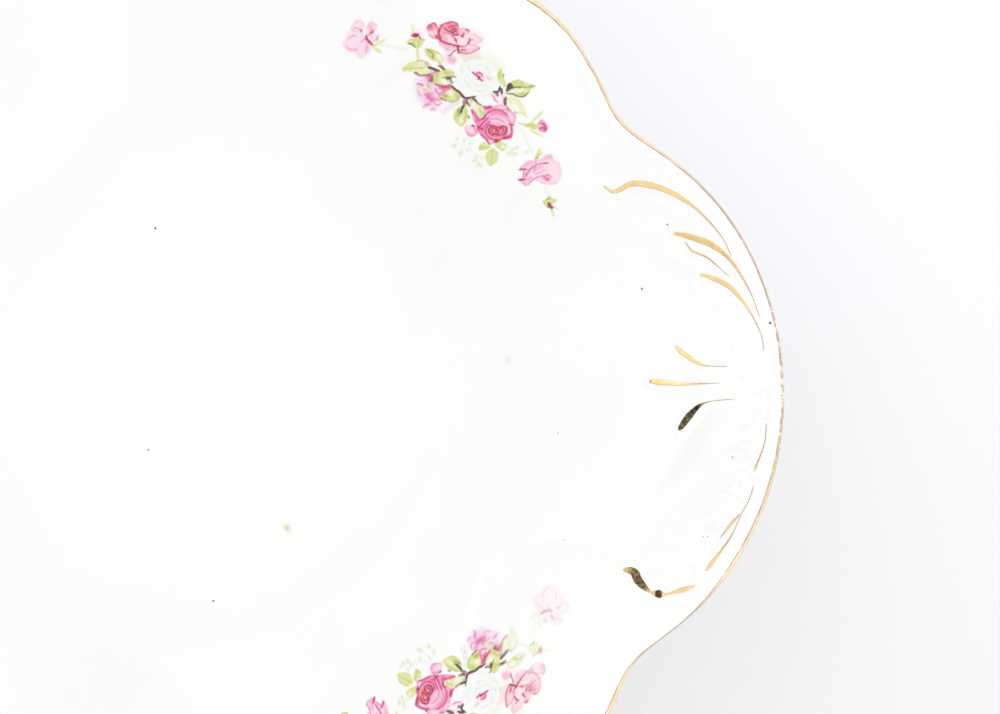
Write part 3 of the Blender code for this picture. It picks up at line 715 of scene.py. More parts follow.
LEFT_LEAVES = (
    ("fill", "leaf", 0.3, (-12.6, 6.2), (-11.4, 6.0), (-10.0, 5.6), (-8.7, 4.8), (-8.1, 3.8), (-8.8, 3.0),
     (-9.8, 3.4), (-11.2, 3.9), (-12.1, 5.0)),
    ("wash", "cream", 0.5, (-9.4, 4.6), (-8.9, 3.8)),
    ("wash", "green", 0.35, (-11.8, 5.0), (-10.8, 4.2)),
    ("line", "green", 0.35, (-12.3, 6.1), (-10.6, 5.8), (-9.0, 4.9)),
    ("line", "moss", 0.45, (-11.9, 5.9), (-11.0, 5.4), (-10.4, 4.8)),
    ("wash", "olive", 0.18, (-10.7, 4.6), (-10.6, 4.3)),
    ("line", "tan", 0.5, (-9.2, 3.2), (-9.0, 2.5), (-8.4, 2.0)),
    ("line", "brown", 0.6, (-9.5, 2.5), (-8.8, 2.3), (-8.2, 1.8), (-7.8, 1.3)),
    ("wash", "bark", 0.18, (-8.8, 2.1), (-8.3, 1.8)),
    ("fill", "pale_leaf", 0.3, (-17.7, 1.9), (-16.6, 3.0), (-15.2, 3.6), (-13.4, 3.8), (-11.8, 3.3),
     (-11.3, 2.5), (-12.4, 2.1), (-14.4, 2.0)),
    ("fill", "pale_leaf", 0.25, (-16.8, 1.8), (-14.4, 2.0), (-11.6, 2.0), (-10.2, 1.6), (-11.3, 1.0),
     (-12.6, 0.6), (-14.2, 0.9), (-15.6, 1.4)),
    ("wash", "green", 0.5, (-17.2, 2.0), (-16.0, 2.3)),
    ("wash", "leaf", 0.6, (-16.2, 2.6), (-14.6, 2.9)),
    ("line", "green", 0.3, (-16.0, 2.1), (-14.0, 2.1), (-12.4, 2.2)),
    ("wash", "tan", 0.45, (-12.2, 3.0), (-11.8, 2.7)),
    ("line", "tan", 0.35, (-14.4, 3.8), (-13.0, 3.6), (-11.6, 3.1)),
    ("line", "bark", 0.55, (-11.8, 2.3), (-10.9, 2.0), (-9.9, 1.6), (-9.0, 1.3)),
    ("line", "brown", 0.4, (-15.0, 1.2), (-13.9, 0.7), (-12.5, 0.55), (-11.1, 0.9)),
    ("wash", "brown", 0.2, (-14.7, 1.3), (-14.2, 1.0)),
    ("fill", "leaf", 0.3, (-10.7, 0.2), (-9.8, 1.1), (-8.4, 1.5), (-7.2, 1.6), (-6.2, 1.4), (-5.7, 0.6),
     (-6.4, 0.1), (-7.4, -0.1), (-7.0, -1.0), (-7.6, -1.6), (-9.2, -1.6), (-10.4, -1.2)),
    ("wash", "cream", 0.6, (-8.6, -0.7), (-7.8, -0.9)),
    ("wash", "white", 0.4, (-8.2, -0.6), (-7.8, -1.0)),
    ("wash", "green", 0.3, (-9.7, 0.6), (-9.9, -0.6)),
    ("wash", "green", 0.35, (-7.8, 0.9), (-6.6, 0.8)),
    ("line", "brown", 0.3, (-8.6, -0.1), (-6.9, 0.0), (-5.7, 0.1), (-5.1, -0.3)),
    ("wash", "bark", 0.33, (-7.4, -0.2), (-6.8, -0.3)),
    ("wash", "olive", 0.25, (-6.7, -0.8), (-6.3, -1.2)),
    ("line", "cerise", 0.4, (-10.5, -1.4), (-9.4, -1.6), (-8.2, -1.9), (-7.0, -1.8)),
    ("line", "sprig", 0.8, (-11.4, -0.8), (-11.3, -1.7), (-11.0, -2.6)),
    ("line", "tan", 0.6, (-12.0, -1.2), (-11.6, -2.2)),
    ("fill", "leaf", 0.3, (-9.4, -4.2), (-8.2, -3.4), (-7.2, -2.6), (-6.2, -2.4), (-5.1, -2.9),
     (-4.5, -3.9), (-4.8, -4.8), (-6.0, -5.3), (-7.4, -5.1), (-8.4, -4.7)),
    ("wash", "cream", 0.5, (-6.9, -3.2), (-6.6, -3.6)),
    ("wash", "green", 0.4, (-8.2, -4.0), (-7.4, -4.3)),
    ("wash", "moss", 0.25, (-8.1, -3.9), (-7.7, -4.0)),
    ("wash", "green", 0.45, (-5.4, -3.8), (-5.0, -4.6)),
    ("line", "moss", 0.3, (-7.4, -5.1), (-6.0, -5.3), (-5.0, -4.9)),
    ("line", "brown", 0.35, (-9.2, -4.3), (-8.4, -4.7), (-7.6, -5.1)),
    ("wash", "mist", 0.7, (-5.0, -5.6), (-6.6, -5.8)),
    ("fill", "leaf", 0.35, (-4.6, -6.4), (-5.7, -7.3), (-6.1, -8.8), (-5.4, -10.0), (-4.4, -10.8),
     (-3.6, -10.3), (-3.0, -9.0), (-2.9, -7.4), (-3.4, -6.2)),
    ("wash", "green", 0.35, (-5.4, -7.4), (-5.2, -8.6)),
    ("wash", "moss", 0.35, (-4.9, -7.2), (-4.8, -8.0)),
    ("wash", "cream", 0.3, (-4.3, -8.8), (-4.4, -9.8)),
    ("wash", "green", 0.3, (-3.4, -7.2), (-3.3, -9.2)),
    ("line", "bark", 0.6, (-3.8, -6.1), (-4.2, -6.9), (-4.4, -7.8)),
    ("wash", "olive", 0.2, (-2.7, -8.5), (-2.6, -8.9)),
)
WHITE_ROSE = (
    ("fill", "lemon", 1.0, (0.6, 4.6), (2.6, 4.0), (4.6, 2.4), (5.2, 0.6), (3.6, 0.8), (2.0, 2.0)),
    ("fill", "white", 0.4, (-6.2, 2.0), (-4.8, 3.4), (-3.0, 3.1), (-1.6, 3.6), (0.6, 3.2), (2.6, 2.0),
     (3.8, 0.2), (4.3, -1.2), (3.8, -2.8), (2.4, -3.9), (0.4, -4.5), (-1.6, -4.4), (-3.2, -4.2),
     (-4.6, -3.0), (-6.3, -1.8), (-5.4, -0.4), (-5.8, 0.9)),
    ("wash", "mint", 0.55, (-2.9, 2.4), (-2.7, 0.8)),
    ("wash", "mint", 0.45, (-2.9, 0.2), (-2.3, -0.9), (-2.9, -2.0)),
    ("wash", "mint", 0.4, (-4.6, 1.6), (-4.4, 0.2)),
    ("wash", "mint", 0.35, (-5.2, -1.2), (-4.2, -2.0)),
    ("wash", "mint", 0.4, (-0.9, 2.5), (0.4, 2.7)),
    ("wash", "mint", 0.35, (1.4, 1.9), (2.4, 0.8)),
    ("wash", "mint", 0.45, (0.2, -1.7), (1.2, -2.2)),
    ("wash", "mint", 0.4, (2.6, -0.6), (3.2, -1.6)),
    ("wash", "mint", 0.4, (-1.2, -2.8), (0.0, -3.4)),
    ("wash", "mint", 0.35, (0.2, -4.0), (1.8, -4.0)),
    ("line", "sage", 0.3, (-2.2, 2.9), (-2.5, 1.9), (-2.1, 1.0)),
    ("line", "sage", 0.3, (-1.7, 1.5), (-1.0, 2.1), (0.2, 2.2)),
    ("line", "sage", 0.3, (0.9, 1.9), (1.8, 1.2), (2.1, 0.3)),
    ("line", "sage", 0.3, (-3.5, -0.2), (-3.2, -1.4), (-2.2, -2.4)),
    ("line", "sage", 0.3, (-1.8, -0.9), (-1.2, -1.7), (-0.2, -2.0)),
    ("line", "sage", 0.3, (-0.4, -3.3), (0.9, -3.2), (2.0, -2.4)),
    ("line", "sage", 0.3, (-4.0, 2.7), (-4.2, 1.6), (-3.8, 0.8)),
    ("wash", "shell", 0.8, (-0.9, 0.5), (0.6, -0.4)),
    ("wash", "petal", 0.35, (1.6, -0.4), (2.2, -0.8)),
    ("wash", "candy", 0.3, (-0.6, 0.3), (0.2, 0.0)),
    ("line", "cerise", 0.35, (-1.9, 1.0), (-1.4, 0.5), (-0.8, 0.2), (-0.3, -0.3)),
    ("line", "cerise", 0.35, (-1.0, 0.5), (-0.4, 0.7), (0.3, 0.4), (0.6, -0.1)),
    ("line", "magenta", 0.35, (-0.5, 0.0), (-0.1, -0.4), (-0.6, -0.7)),
    ("line", "cerise", 0.35, (-0.2, -0.4), (0.1, -0.8), (0.7, -1.1)),
    ("wash", "plum", 0.15, (-1.7, 0.75), (-1.4, 0.65)),
    ("wash", "magenta", 0.15, (-0.9, 0.25), (-0.3, -0.4)),
    ("fill", "white", 0.3, (-1.0, -4.7), (0.8, -4.5), (2.3, -4.3), (3.0, -5.2), (3.6, -6.2), (2.0, -6.6),
     (0.6, -6.1), (-0.4, -5.5)),
    ("fill", "shell", 0.35, (2.3, -3.9), (3.4, -3.8), (4.8, -4.0), (5.4, -4.7), (5.2, -6.0), (4.5, -6.9),
     (3.8, -6.0), (3.0, -4.8)),
    ("wash", "white", 0.4, (4.2, -4.6), (4.6, -5.6)),
    ("line", "pink", 0.35, (2.6, -4.1), (3.2, -5.1), (3.9, -5.8)),
)
SHADOWS = (
    ("fill", "pale_leaf", 0.3, (-2.6, -4.7), (-1.2, -5.3), (0.0, -6.1), (0.8, -7.1), (0.7, -8.4),
     (0.1, -9.1), (-0.7, -8.3), (-1.4, -7.2), (-2.2, -6.4)),
    ("wash", "green", 0.4, (0.0, -7.2), (0.2, -8.4)),
    ("wash", "cream", 0.3, (-1.6, -5.8), (-1.2, -6.8)),
    ("wash", "tan", 0.35, (-2.6, -4.7), (-1.8, -5.0)),
    ("line", "bark", 0.5, (-7.0, -1.5), (-6.2, -2.2), (-5.4, -2.8), (-4.6, -3.4), (-4.0, -4.2),
     (-3.3, -4.6), (-2.3, -4.5), (-1.0, -4.3)),
    ("wash", "bark", 0.22, (-4.4, -3.6), (-3.9, -4.2)),
    ("line", "brown", 0.8, (-3.5, -4.8), (-3.6, -5.4), (-3.5, -6.1)),
    ("line", "brown", 0.5, (-2.9, -4.8), (-3.0, -5.7), (-2.3, -6.4)),
    ("wash", "bark", 0.18, (-3.1, -5.4), (-2.8, -5.8)),
    ("line", "bark", 0.5, (-1.7, -4.5), (-1.3, -5.0), (-0.8, -5.6)),
    ("line", "brown", 0.4, (-1.0, -5.3), (-0.4, -5.9), (0.3, -6.3)),
    ("line", "bark", 0.5, (2.9, -3.5), (3.8, -3.6), (4.3, -3.2), (4.4, -2.4)),
    ("wash", "bark", 0.22, (3.7, -4.1), (4.0, -4.3)),
    ("line", "bark", 0.6, (4.7, -2.8), (4.8, -3.4), (4.9, -4.1)),
    ("line", "brown", 0.8, (5.9, -4.8), (5.6, -5.4), (5.7, -6.6)),
    ("wash", "bark", 0.2, (5.6, -5.3), (5.6, -6.3)),
    ("line", "brown", 0.35, (5.9, -6.8), (6.4, -7.4), (7.0, -7.9)),
    ("wash", "brown", 0.2, (7.9, -8.1), (8.1, -8.2)),
)
PINK_ROSE = (
    ("fill", "candy", 0.25, (0.7, -8.4), (0.9, -7.1), (2.0, -6.7), (3.4, -6.5), (4.6, -6.3), (5.6, -6.9),
     (6.6, -7.7), (7.8, -8.4), (8.0, -9.8), (7.5, -10.9), (6.0, -10.4), (3.0, -9.8), (1.4, -9.8)),
    ("wash", "blush", 0.5, (6.6, -8.4), (7.2, -9.6)),
    ("wash", "blush", 0.35, (4.2, -6.6), (5.0, -7.0)),
    ("fill", "pink", 0.25, (-2.2, -6.9), (-1.2, -7.6), (-0.6, -8.6), (0.0, -9.2), (0.9, -9.4), (0.6, -10.7),
     (-0.6, -10.9), (-1.2, -10.1), (-1.8, -8.6)),
    ("wash", "cerise", 0.28, (-1.8, -7.4), (-1.3, -8.3)),
    ("wash", "cerise", 0.4, (-0.8, -9.0), (-0.2, -9.8)),
    ("wash", "candy", 0.3, (-1.6, -8.4), (-1.3, -9.2)),
    ("fill", "blush", 0.25, (-3.7, -11.0), (-2.8, -10.5), (-1.4, -10.6), (-0.5, -11.4), (-0.3, -12.2),
     (-1.2, -12.8), (-2.2, -13.0), (-2.9, -12.6), (-3.2, -11.8)),
    ("wash", "candy", 0.3, (-2.8, -12.2), (-1.8, -12.6), (-0.9, -12.2)),
    ("wash", "pink", 0.3, (-1.4, -11.0), (-0.9, -12.0)),
    ("line", "orchid", 0.25, (-3.4, -11.5), (-2.9, -12.5), (-2.2, -12.9), (-1.2, -12.8)),
    ("fill", "candy", 0.2, (-0.8, -10.6), (0.4, -9.4), (2.0, -8.6), (3.6, -8.0), (5.4, -8.6), (6.6, -9.8),
     (7.3, -11.2), (7.4, -12.8), (6.8, -13.9), (5.4, -14.0), (4.2, -14.4), (3.0, -14.7), (2.0, -15.0),
     (1.0, -13.7), (0.0, -12.5)),
    ("wash", "pink", 0.6, (0.2, -11.2), (1.2, -12.6), (2.4, -13.8)),
    ("wash", "blush", 0.7, (2.8, -9.4), (4.6, -9.6), (5.8, -10.4)),
    ("wash", "shell", 0.35, (2.2, -14.2), (3.0, -14.2)),
    ("wash", "shell", 0.3, (6.4, -11.6), (6.5, -12.6)),
    ("fill", "coral", 0.25, (1.7, -12.0), (2.0, -11.0), (3.0, -10.7), (4.2, -11.0), (5.2, -10.9),
     (6.0, -11.4), (6.0, -12.3), (5.3, -13.1), (4.0, -13.4), (2.6, -13.1)),
    ("line", "cerise", 0.45, (0.9, -8.8), (2.0, -7.8), (3.4, -7.4), (4.8, -7.7), (5.7, -8.4), (6.3, -9.1)),
    ("wash", "pink", 0.3, (2.6, -7.9), (4.2, -7.8), (5.2, -8.3)),
    ("line", "cerise", 0.6, (0.6, -6.5), (1.4, -6.8), (2.6, -6.6)),
    ("wash", "rose", 0.25, (1.2, -7.0), (2.4, -6.9)),
    ("line", "magenta", 0.4, (0.1, -9.3), (0.8, -9.0), (1.2, -8.4)),
    ("line", "cerise", 0.5, (-0.5, -11.8), (-0.2, -10.9), (0.8, -10.0), (1.9, -9.0)),
    ("line", "magenta", 0.35, (-0.9, -10.6), (-0.2, -11.2), (0.5, -11.6)),
    ("line", "cerise", 0.45, (-0.2, -12.2), (0.6, -13.1), (1.4, -13.8), (2.0, -14.8)),
    ("line", "cerise", 0.4, (0.5, -12.2), (0.7, -11.2), (1.6, -10.3), (2.2, -9.9)),
    ("line", "pink", 0.35, (1.8, -9.9), (3.0, -9.3), (4.4, -9.6), (5.6, -10.4)),
    ("line", "rose", 0.4, (1.5, -13.0), (1.2, -12.0), (1.6, -10.9), (2.6, -10.4)),
    ("line", "rose", 0.35, (1.6, -13.1), (2.6, -13.8), (3.8, -13.9), (5.0, -13.6), (5.9, -12.9)),
    ("line", "crimson", 0.4, (2.4, -12.8), (1.9, -12.0), (2.2, -11.2), (3.0, -10.9), (3.8, -11.2)),
    ("line", "crimson", 0.4, (3.8, -11.1), (4.6, -11.2), (5.5, -11.1), (6.0, -11.7), (5.8, -12.5),
     (5.0, -12.9)),
    ("line", "crimson", 0.3, (2.7, -12.5), (2.6, -11.8), (3.1, -11.3), (3.6, -11.8), (3.2, -12.3)),
    ("line", "crimson", 0.3, (4.0, -12.6), (4.2, -11.8), (4.9, -11.5), (5.3, -12.0), (4.7, -12.5)),
    ("line", "crimson", 0.35, (2.5, -12.9), (3.4, -12.6), (4.0, -12.9), (4.8, -12.9)),
    ("wash", "crimson", 0.2, (3.7, -11.5), (3.9, -12.2)),
    ("wash", "salmon", 0.2, (3.1, -12.0), (3.1, -12.1)),
    ("wash", "salmon", 0.2, (4.6, -12.0), (4.8, -12.1)),
    ("line", "magenta", 0.4, (6.5, -10.6), (7.1, -10.9), (7.6, -10.9)),
    ("line", "cerise", 0.45, (6.9, -11.0), (7.1, -12.0), (6.9, -13.4)),
    ("line", "magenta", 0.5, (5.2, -13.8), (6.1, -13.5), (6.9, -13.7)),
    ("wash", "cerise", 0.3, (6.4, -13.2), (6.8, -13.4)),
    ("wash", "plum", 0.25, (3.5, -14.1), (3.7, -14.3)),
    ("line", "magenta", 0.3, (2.9, -14.6), (3.5, -14.2), (4.6, -14.2)),
    ("wash", "plum", 0.2, (-1.8, -10.6), (-1.6, -10.7)),
)
RIGHT_LEAVES = (
    ("fill", "leaf", 0.35, (3.8, 0.2), (4.6, 1.4), (5.0, 0.6), (5.2, -0.6), (5.8, -2.2), (5.2, -2.7),
     (4.5, -1.8), (4.0, -1.0)),
    ("wash", "green", 0.3, (4.5, 0.6), (4.3, -0.6)),
    ("wash", "olive", 0.13, (5.2, 0.1), (5.2, -0.3)),
    ("fill", "pale_leaf", 0.4, (6.2, -5.0), (7.6, -4.8), (8.8, -5.6), (9.7, -7.0), (10.5, -9.5),
     (9.4, -8.5), (8.0, -8.2), (7.0, -7.0)),
    ("wash", "white", 0.5, (7.4, -6.6), (8.4, -7.6)),
    ("line", "leaf", 0.3, (8.2, -8.3), (9.4, -8.5), (10.4, -9.4)),
    ("fill", "leaf", 0.25, (5.8, -3.5), (6.2, -2.1), (7.2, -1.4), (8.8, -1.2), (10.4, -2.1), (12.4, -2.7),
     (11.6, -3.2), (10.2, -3.0), (8.4, -2.9), (7.0, -3.2)),
    ("wash", "green", 0.4, (7.6, -1.9), (9.4, -2.2)),
    ("fill", "leaf", 0.25, (5.6, -3.9), (7.0, -3.3), (9.0, -3.0), (11.2, -3.2), (10.9, -4.1), (10.2, -4.8),
     (9.0, -4.9), (7.6, -4.5)),
    ("wash", "cream", 0.35, (7.2, -3.7), (9.4, -3.4)),
    ("wash", "green", 0.3, (8.6, -4.3), (9.8, -4.3)),
    ("fill", "bark", 0.3, (5.8, -3.6), (6.1, -2.2), (6.7, -1.8), (7.4, -2.4), (7.2, -3.0)),
    ("line", "olive", 0.35, (6.4, -3.2), (7.8, -2.8), (9.4, -2.9)),
    ("line", "moss", 0.35, (8.8, -2.8), (10.6, -2.9), (12.2, -2.8)),
    ("wash", "green", 0.25, (11.2, -3.0), (11.8, -3.0)),
    ("line", "olive", 0.35, (5.7, -4.0), (7.2, -4.2), (8.6, -4.8), (9.8, -4.8), (10.8, -4.1)),
    ("fill", "leaf", 0.35, (-0.4, -16.0), (0.0, -14.8), (0.9, -14.4), (1.6, -15.0), (2.3, -15.5),
     (1.2, -16.1)),
    ("wash", "green", 0.3, (0.3, -15.5), (1.2, -15.6)),
    ("fill", "leaf", 0.35, (3.1, -14.9), (4.2, -14.3), (5.4, -14.8), (6.0, -15.6), (5.4, -16.4),
     (4.4, -16.1)),
    ("wash", "cream", 0.3, (5.0, -15.4), (5.4, -15.8)),
    ("fill", "leaf", 0.4, (1.2, -17.0), (2.0, -16.2), (3.0, -15.9), (4.0, -17.0), (3.8, -18.5),
     (3.0, -19.3), (2.2, -19.7), (1.4, -18.6)),
    ("line", "green", 0.35, (2.8, -15.9), (2.6, -17.4), (2.4, -19.2)),
    ("line", "sprig", 0.4, (3.5, -17.0), (3.3, -18.4)),
    ("line", "sprig", 0.4, (1.8, -17.2), (1.9, -18.6)),
)
TAIL = (
    ("line", "mist", 0.3, (7.8, -11.0), (9.5, -12.2), (10.4, -14.6), (11.4, -16.6), (12.4, -18.0)),
    ("fill", "leaf", 0.35, (8.4, -10.5), (10.4, -10.7), (11.6, -10.6), (12.4, -11.0), (13.0, -11.6),
     (12.6, -12.1), (11.4, -11.9), (10.2, -11.4)),
    ("wash", "green", 0.3, (10.4, -11.1), (12.2, -11.4)),
    ("line", "leaf", 0.6, (11.3, -10.8), (12.4, -9.8), (14.0, -8.2)),
    ("line", "leaf", 0.5, (11.3, -11.5), (12.0, -12.6), (12.9, -13.2)),
    ("line", "sprig", 0.35, (13.0, -13.1), (14.2, -13.9)),
    ("fill", "petal", 0.25, (12.8, -11.5), (13.2, -10.4), (14.0, -10.1), (14.8, -10.8), (15.2, -12.0),
     (14.5, -12.9), (13.4, -12.6)),
    ("line", "rose", 0.5, (13.6, -10.8), (14.4, -11.3), (14.9, -12.3)),
    ("line", "rose", 0.5, (13.2, -12.0), (14.0, -11.8), (14.7, -12.6)),
    ("wash", "coral", 0.3, (13.4, -12.2), (14.2, -12.5)),
    ("wash", "mauve", 0.3, (13.1, -10.9), (13.8, -10.3)),
    ("line", "leaf", 0.7, (12.5, -18.8), (13.0, -17.6), (13.4, -16.5)),
    ("wash", "moss", 0.3, (12.5, -18.5), (12.8, -18.3)),
    ("wash", "green", 0.25, (13.1, -17.6), (13.6, -17.5)),
    ("fill", "blush", 0.35, (8.8, -20.8), (9.6, -19.6), (10.8, -18.8), (12.4, -18.9), (13.6, -18.6),
     (14.8, -17.8), (16.0, -17.7), (16.4, -18.9), (17.6, -19.5), (18.1, -20.8), (18.2, -22.6),
     (17.2, -24.1), (15.4, -24.3), (13.4, -23.9), (12.2, -23.2), (11.2, -24.1), (10.2, -24.3), (9.2, -23.6),
     (9.0, -22.9), (9.8, -22.4), (9.8, -21.4)),
    ("wash", "shell", 1.0, (16.2, -20.6), (16.8, -22.6)),
    ("wash", "shell", 0.5, (12.4, -22.2), (14.0, -21.0)),
    ("wash", "candy", 0.35, (10.0, -19.9), (11.4, -19.3)),
    ("wash", "candy", 0.4, (10.2, -23.4), (11.4, -22.6)),
    ("wash", "candy", 0.3, (14.6, -18.6), (16.0, -18.3)),
    ("wash", "candy", 0.4, (12.4, -20.8), (13.8, -20.3)),
    ("line", "cerise", 0.5, (8.7, -20.8), (9.5, -20.7), (10.5, -20.8)),
    ("line", "magenta", 0.5, (8.6, -23.0), (9.3, -23.0), (10.2, -22.9)),
    ("line", "orchid", 0.3, (9.9, -20.9), (9.8, -21.8), (9.6, -22.7)),
    ("line", "orchid", 0.55, (10.1, -22.5), (10.6, -21.6), (11.6, -20.5), (12.6, -19.9)),
    ("line", "mauve", 0.45, (12.6, -18.9), (12.4, -20.2), (11.9, -21.5)),
    ("line", "orchid", 0.35, (12.6, -19.9), (14.0, -19.6), (15.4, -19.6)),
    ("wash", "cerise", 0.18, (14.4, -19.6), (15.1, -19.6)),
    ("line", "orchid", 0.3, (10.9, -24.0), (12.0, -23.0), (13.4, -22.4), (14.6, -22.4)),
    ("line", "mauve", 0.3, (9.4, -23.6), (10.2, -24.2), (11.2, -24.1)),
    ("line", "mauve", 0.3, (12.2, -22.0), (13.4, -21.6), (14.6, -21.0)),
    ("line", "orchid", 0.35, (14.3, -22.6), (15.2, -22.1), (16.0, -22.8)),
    ("wash", "magenta", 0.28, (14.8, -23.0), (15.2, -23.1)),
    ("wash", "pink", 0.4, (14.4, -22.6), (15.4, -23.2)),
    ("line", "mist", 0.35, (14.6, -24.4), (14.9, -25.8), (15.6, -26.8)),
    ("fill", "leaf", 0.3, (14.2, -27.8), (15.0, -27.3), (15.6, -26.5), (16.2, -27.4), (17.3, -27.6),
     (16.6, -28.4), (15.8, -28.6), (14.9, -29.2), (14.5, -28.6)),
    ("wash", "moss", 0.22, (15.0, -27.6), (15.6, -27.2)),
    ("line", "green", 0.35, (14.4, -28.0), (14.8, -28.9)),
    ("line", "leaf", 0.5, (16.1, -29.6), (16.3, -30.4), (16.6, -31.3)),
    ("line", "sprig", 0.35, (16.6, -29.2), (17.6, -29.8)),
    ("line", "rose", 0.7, (15.2, -29.0), (15.8, -29.2), (16.5, -29.3)),
    ("wash", "bark", 0.28, (15.4, -28.4), (15.8, -28.8)),
    ("wash", "crimson", 0.22, (15.9, -29.1), (16.2, -29.5)),
)
SPRIGS = (
    ("line", "mist", 0.25, (-2.6, -12.9), (-3.8, -14.2), (-4.5, -16.6)),
    ("line", "mist", 0.25, (-2.6, -13.2), (-2.4, -15.4), (-1.2, -17.6), (-0.4, -19.0)),
    ("line", "mist", 0.25, (5.6, -15.0), (7.2, -16.2), (8.4, -15.8)),
) + tuple(
    ("wash", "sprig", size, (x - 0.15, y - 0.1), (x + 0.15, y + 0.1))
    for x, y, size in (
        (-5.3, -13.4, 0.35), (-6.0, -14.9, 0.4), (-4.6, -16.4, 0.3), (-4.5, -17.0, 0.28), (-3.7, -13.8, 0.25),
        (-2.8, -15.9, 0.3), (-1.4, -18.4, 0.35), (-0.4, -19.2, 0.38), (0.5, -17.8, 0.22), (-0.8, -17.5, 0.22),
        (6.6, -17.1, 0.42), (7.8, -17.2, 0.36), (8.2, -15.9, 0.34), (7.3, -16.4, 0.22), (10.4, -17.0, 0.3),
        (0.3, -19.6, 0.25), (-7.9, -6.7, 0.22), (-8.1, -7.7, 0.2),
    )
)
PRINT = (
    CLUSTER + PALE_ROSE + RED_BUD + RED_ROSE + LEFT_LEAVES + WHITE_ROSE + SHADOWS + SPRIGS + RIGHT_LEAVES
    + PINK_ROSE + TAIL
)

PRINT_STEP = 0.125
PRINT_LOW = (-34.0, -33.0)
PRINT_HIGH = (20.0, 15.0)
PRINT_GAP = 0.03  # how far the print lies over the bowl's surface
LINE_SOFTNESS = 0.22
LINE_TIP, LINE_SWELL = 0.25, 4.2  # how thin a line's ends are, and how fast it widens from them
BRUSH_SHAKE = 0.07  # how far the marks' edges wander
TONE_SHARE = 0.2  # how much a mark's cover varies
WASH_REACH = 2.6  # radii of a wash at which it has faded out
RIM_IN, RIM_WIDTH = 0.1, 0.28  # the dark rim of a fill: how far inside its edge, and how wide
SOFTEST_RIM = 0.5  # a fill whose edge is this soft or softer has no dark rim
BLANK = 0.988  # paler than this is bare glaze

# In the southeast print the pale rose was laid this much nearer, and a painted highlight, standing in for the
# glaze's reflection over the print, washes it paler to the northeast by plan x and this share of plan y.
NEAR_SHIFT = (2.3, -0.9)
NEAR_FROM, NEAR_TO = 14.0, 22.0
HIGHLIGHT_LEAN = 0.6
HIGHLIGHT_FROM, HIGHLIGHT_TO, HIGHLIGHT_SHARE = 29.5, 37.5, 0.66
# Where each print lies: its white rose's heart, in millimetres in the first quarter, and its turn in degrees.
PRINTS = {
    "northeast": (65.8, 71.5, -1.3), "northwest": (65.5, 71.0, 12.0),
    "southwest": (66.5, 70.0, 3.7), "southeast": (68.3, 63.0, -19.6),
}


def grain(x, y, seed):
    """Uneven tone from -1 to 1 over the print, as from a brush."""
    rng = np.random.default_rng(seed)
    total = np.zeros(x.shape)
    for _ in range(5):
        angle, shift = rng.uniform(0, 2 * np.pi, 2)
        total += np.sin(2 * np.pi * (x * np.cos(angle) + y * np.sin(angle)) / rng.uniform(0.8, 2.4) + shift)
    return total / 5


def closed_route(points, each=4):
    """Points of the smooth closed curve through an outline's points."""
    points = np.array(points, float)
    along = np.arange(len(points) * each) / each
    index = along.astype(int)
    t = (along - index)[:, None]
    return curve_between(*(points[(index + i) % len(points)] for i in (-1, 0, 1, 2)), t)


def is_inside(loop, x, y):
    """Whether each point is inside a closed polygon."""
    odd = np.zeros(x.shape, bool)
    for (ax, ay), (bx, by) in zip(loop, np.roll(loop, -1, axis=0)):
        if ay != by:
            odd ^= ((ay > y) != (by > y)) & (x < (bx - ax) * (y - ay) / (by - ay) + ax)
    return odd


def mark_cover(kind, size, points, x, y):
    """How much a mark covers each point, and how near the point is to the dark rim of a fill."""
    if kind == "fill":
        loop = closed_route(points)
        distance = nearest_on(np.vstack([loop, loop[:1]]), x, y)[0]
        distance = np.where(is_inside(loop, x, y), distance, -distance)
        rim = np.exp(-(((distance - RIM_IN) / RIM_WIDTH) ** 2)) * (size < SOFTEST_RIM)
        return soft_step(distance, -size / 2, size / 2), rim
    distance, share = nearest_on(smooth_route(points, 6 * len(points)), x, y)
    if kind == "wash":
        return np.exp(-((distance / size) ** 2)), 0 * distance
    half = size / 2 * np.clip(LINE_SWELL * np.minimum(share, 1 - share) + LINE_TIP, 0, 1) ** 0.6
    return soft_step(half - distance, -LINE_SOFTNESS / 2, LINE_SOFTNESS / 2), 0 * distance


def paint_print():
    """The print's plan grid in millimetres, and its colour there as sRGB."""
    x, y = np.meshgrid(*(np.arange(low, high, PRINT_STEP) for low, high in zip(PRINT_LOW, PRINT_HIGH)))
    brush_x = x + BRUSH_SHAKE * grain(x, y, 1)
    brush_y = y + BRUSH_SHAKE * grain(x, y, 2)
    tone = 0.6 * grain(x, y, 3) + 0.6 * grain(2.2 * x, 2.2 * y, 4)
    colour = np.ones((*x.shape, 3))
    for kind, ink, size, *points in PRINT:
        *rgb, strength = INKS[ink]
        margin = WASH_REACH * size if kind == "wash" else size + 0.3
        first = (np.min(points, axis=0) - margin - PRINT_LOW) / PRINT_STEP
        last = (np.max(points, axis=0) + margin - PRINT_LOW) / PRINT_STEP + 2
        window = tuple(slice(max(0, int(first[i])), int(last[i])) for i in (1, 0))
        share, rim = mark_cover(kind, size, points, brush_x[window], brush_y[window])
        share = np.clip(strength * share * (1 + TONE_SHARE * tone[window]), 0, 1)[..., None]
        rim = (rim * np.clip(0.5 + 0.9 * tone[window], 0, 1))[..., None]
        rgb = np.array(rgb) / 255
        colour[window] += share * (rgb * (1 - rim) + rgb**2 * rim - colour[window])
    return x, y, colour


def to_linear(colour):
    """Linear values of an sRGB colour."""
    return np.where(colour > 0.04045, ((colour + 0.055) / 1.055) ** 2.4, colour / 12.92)


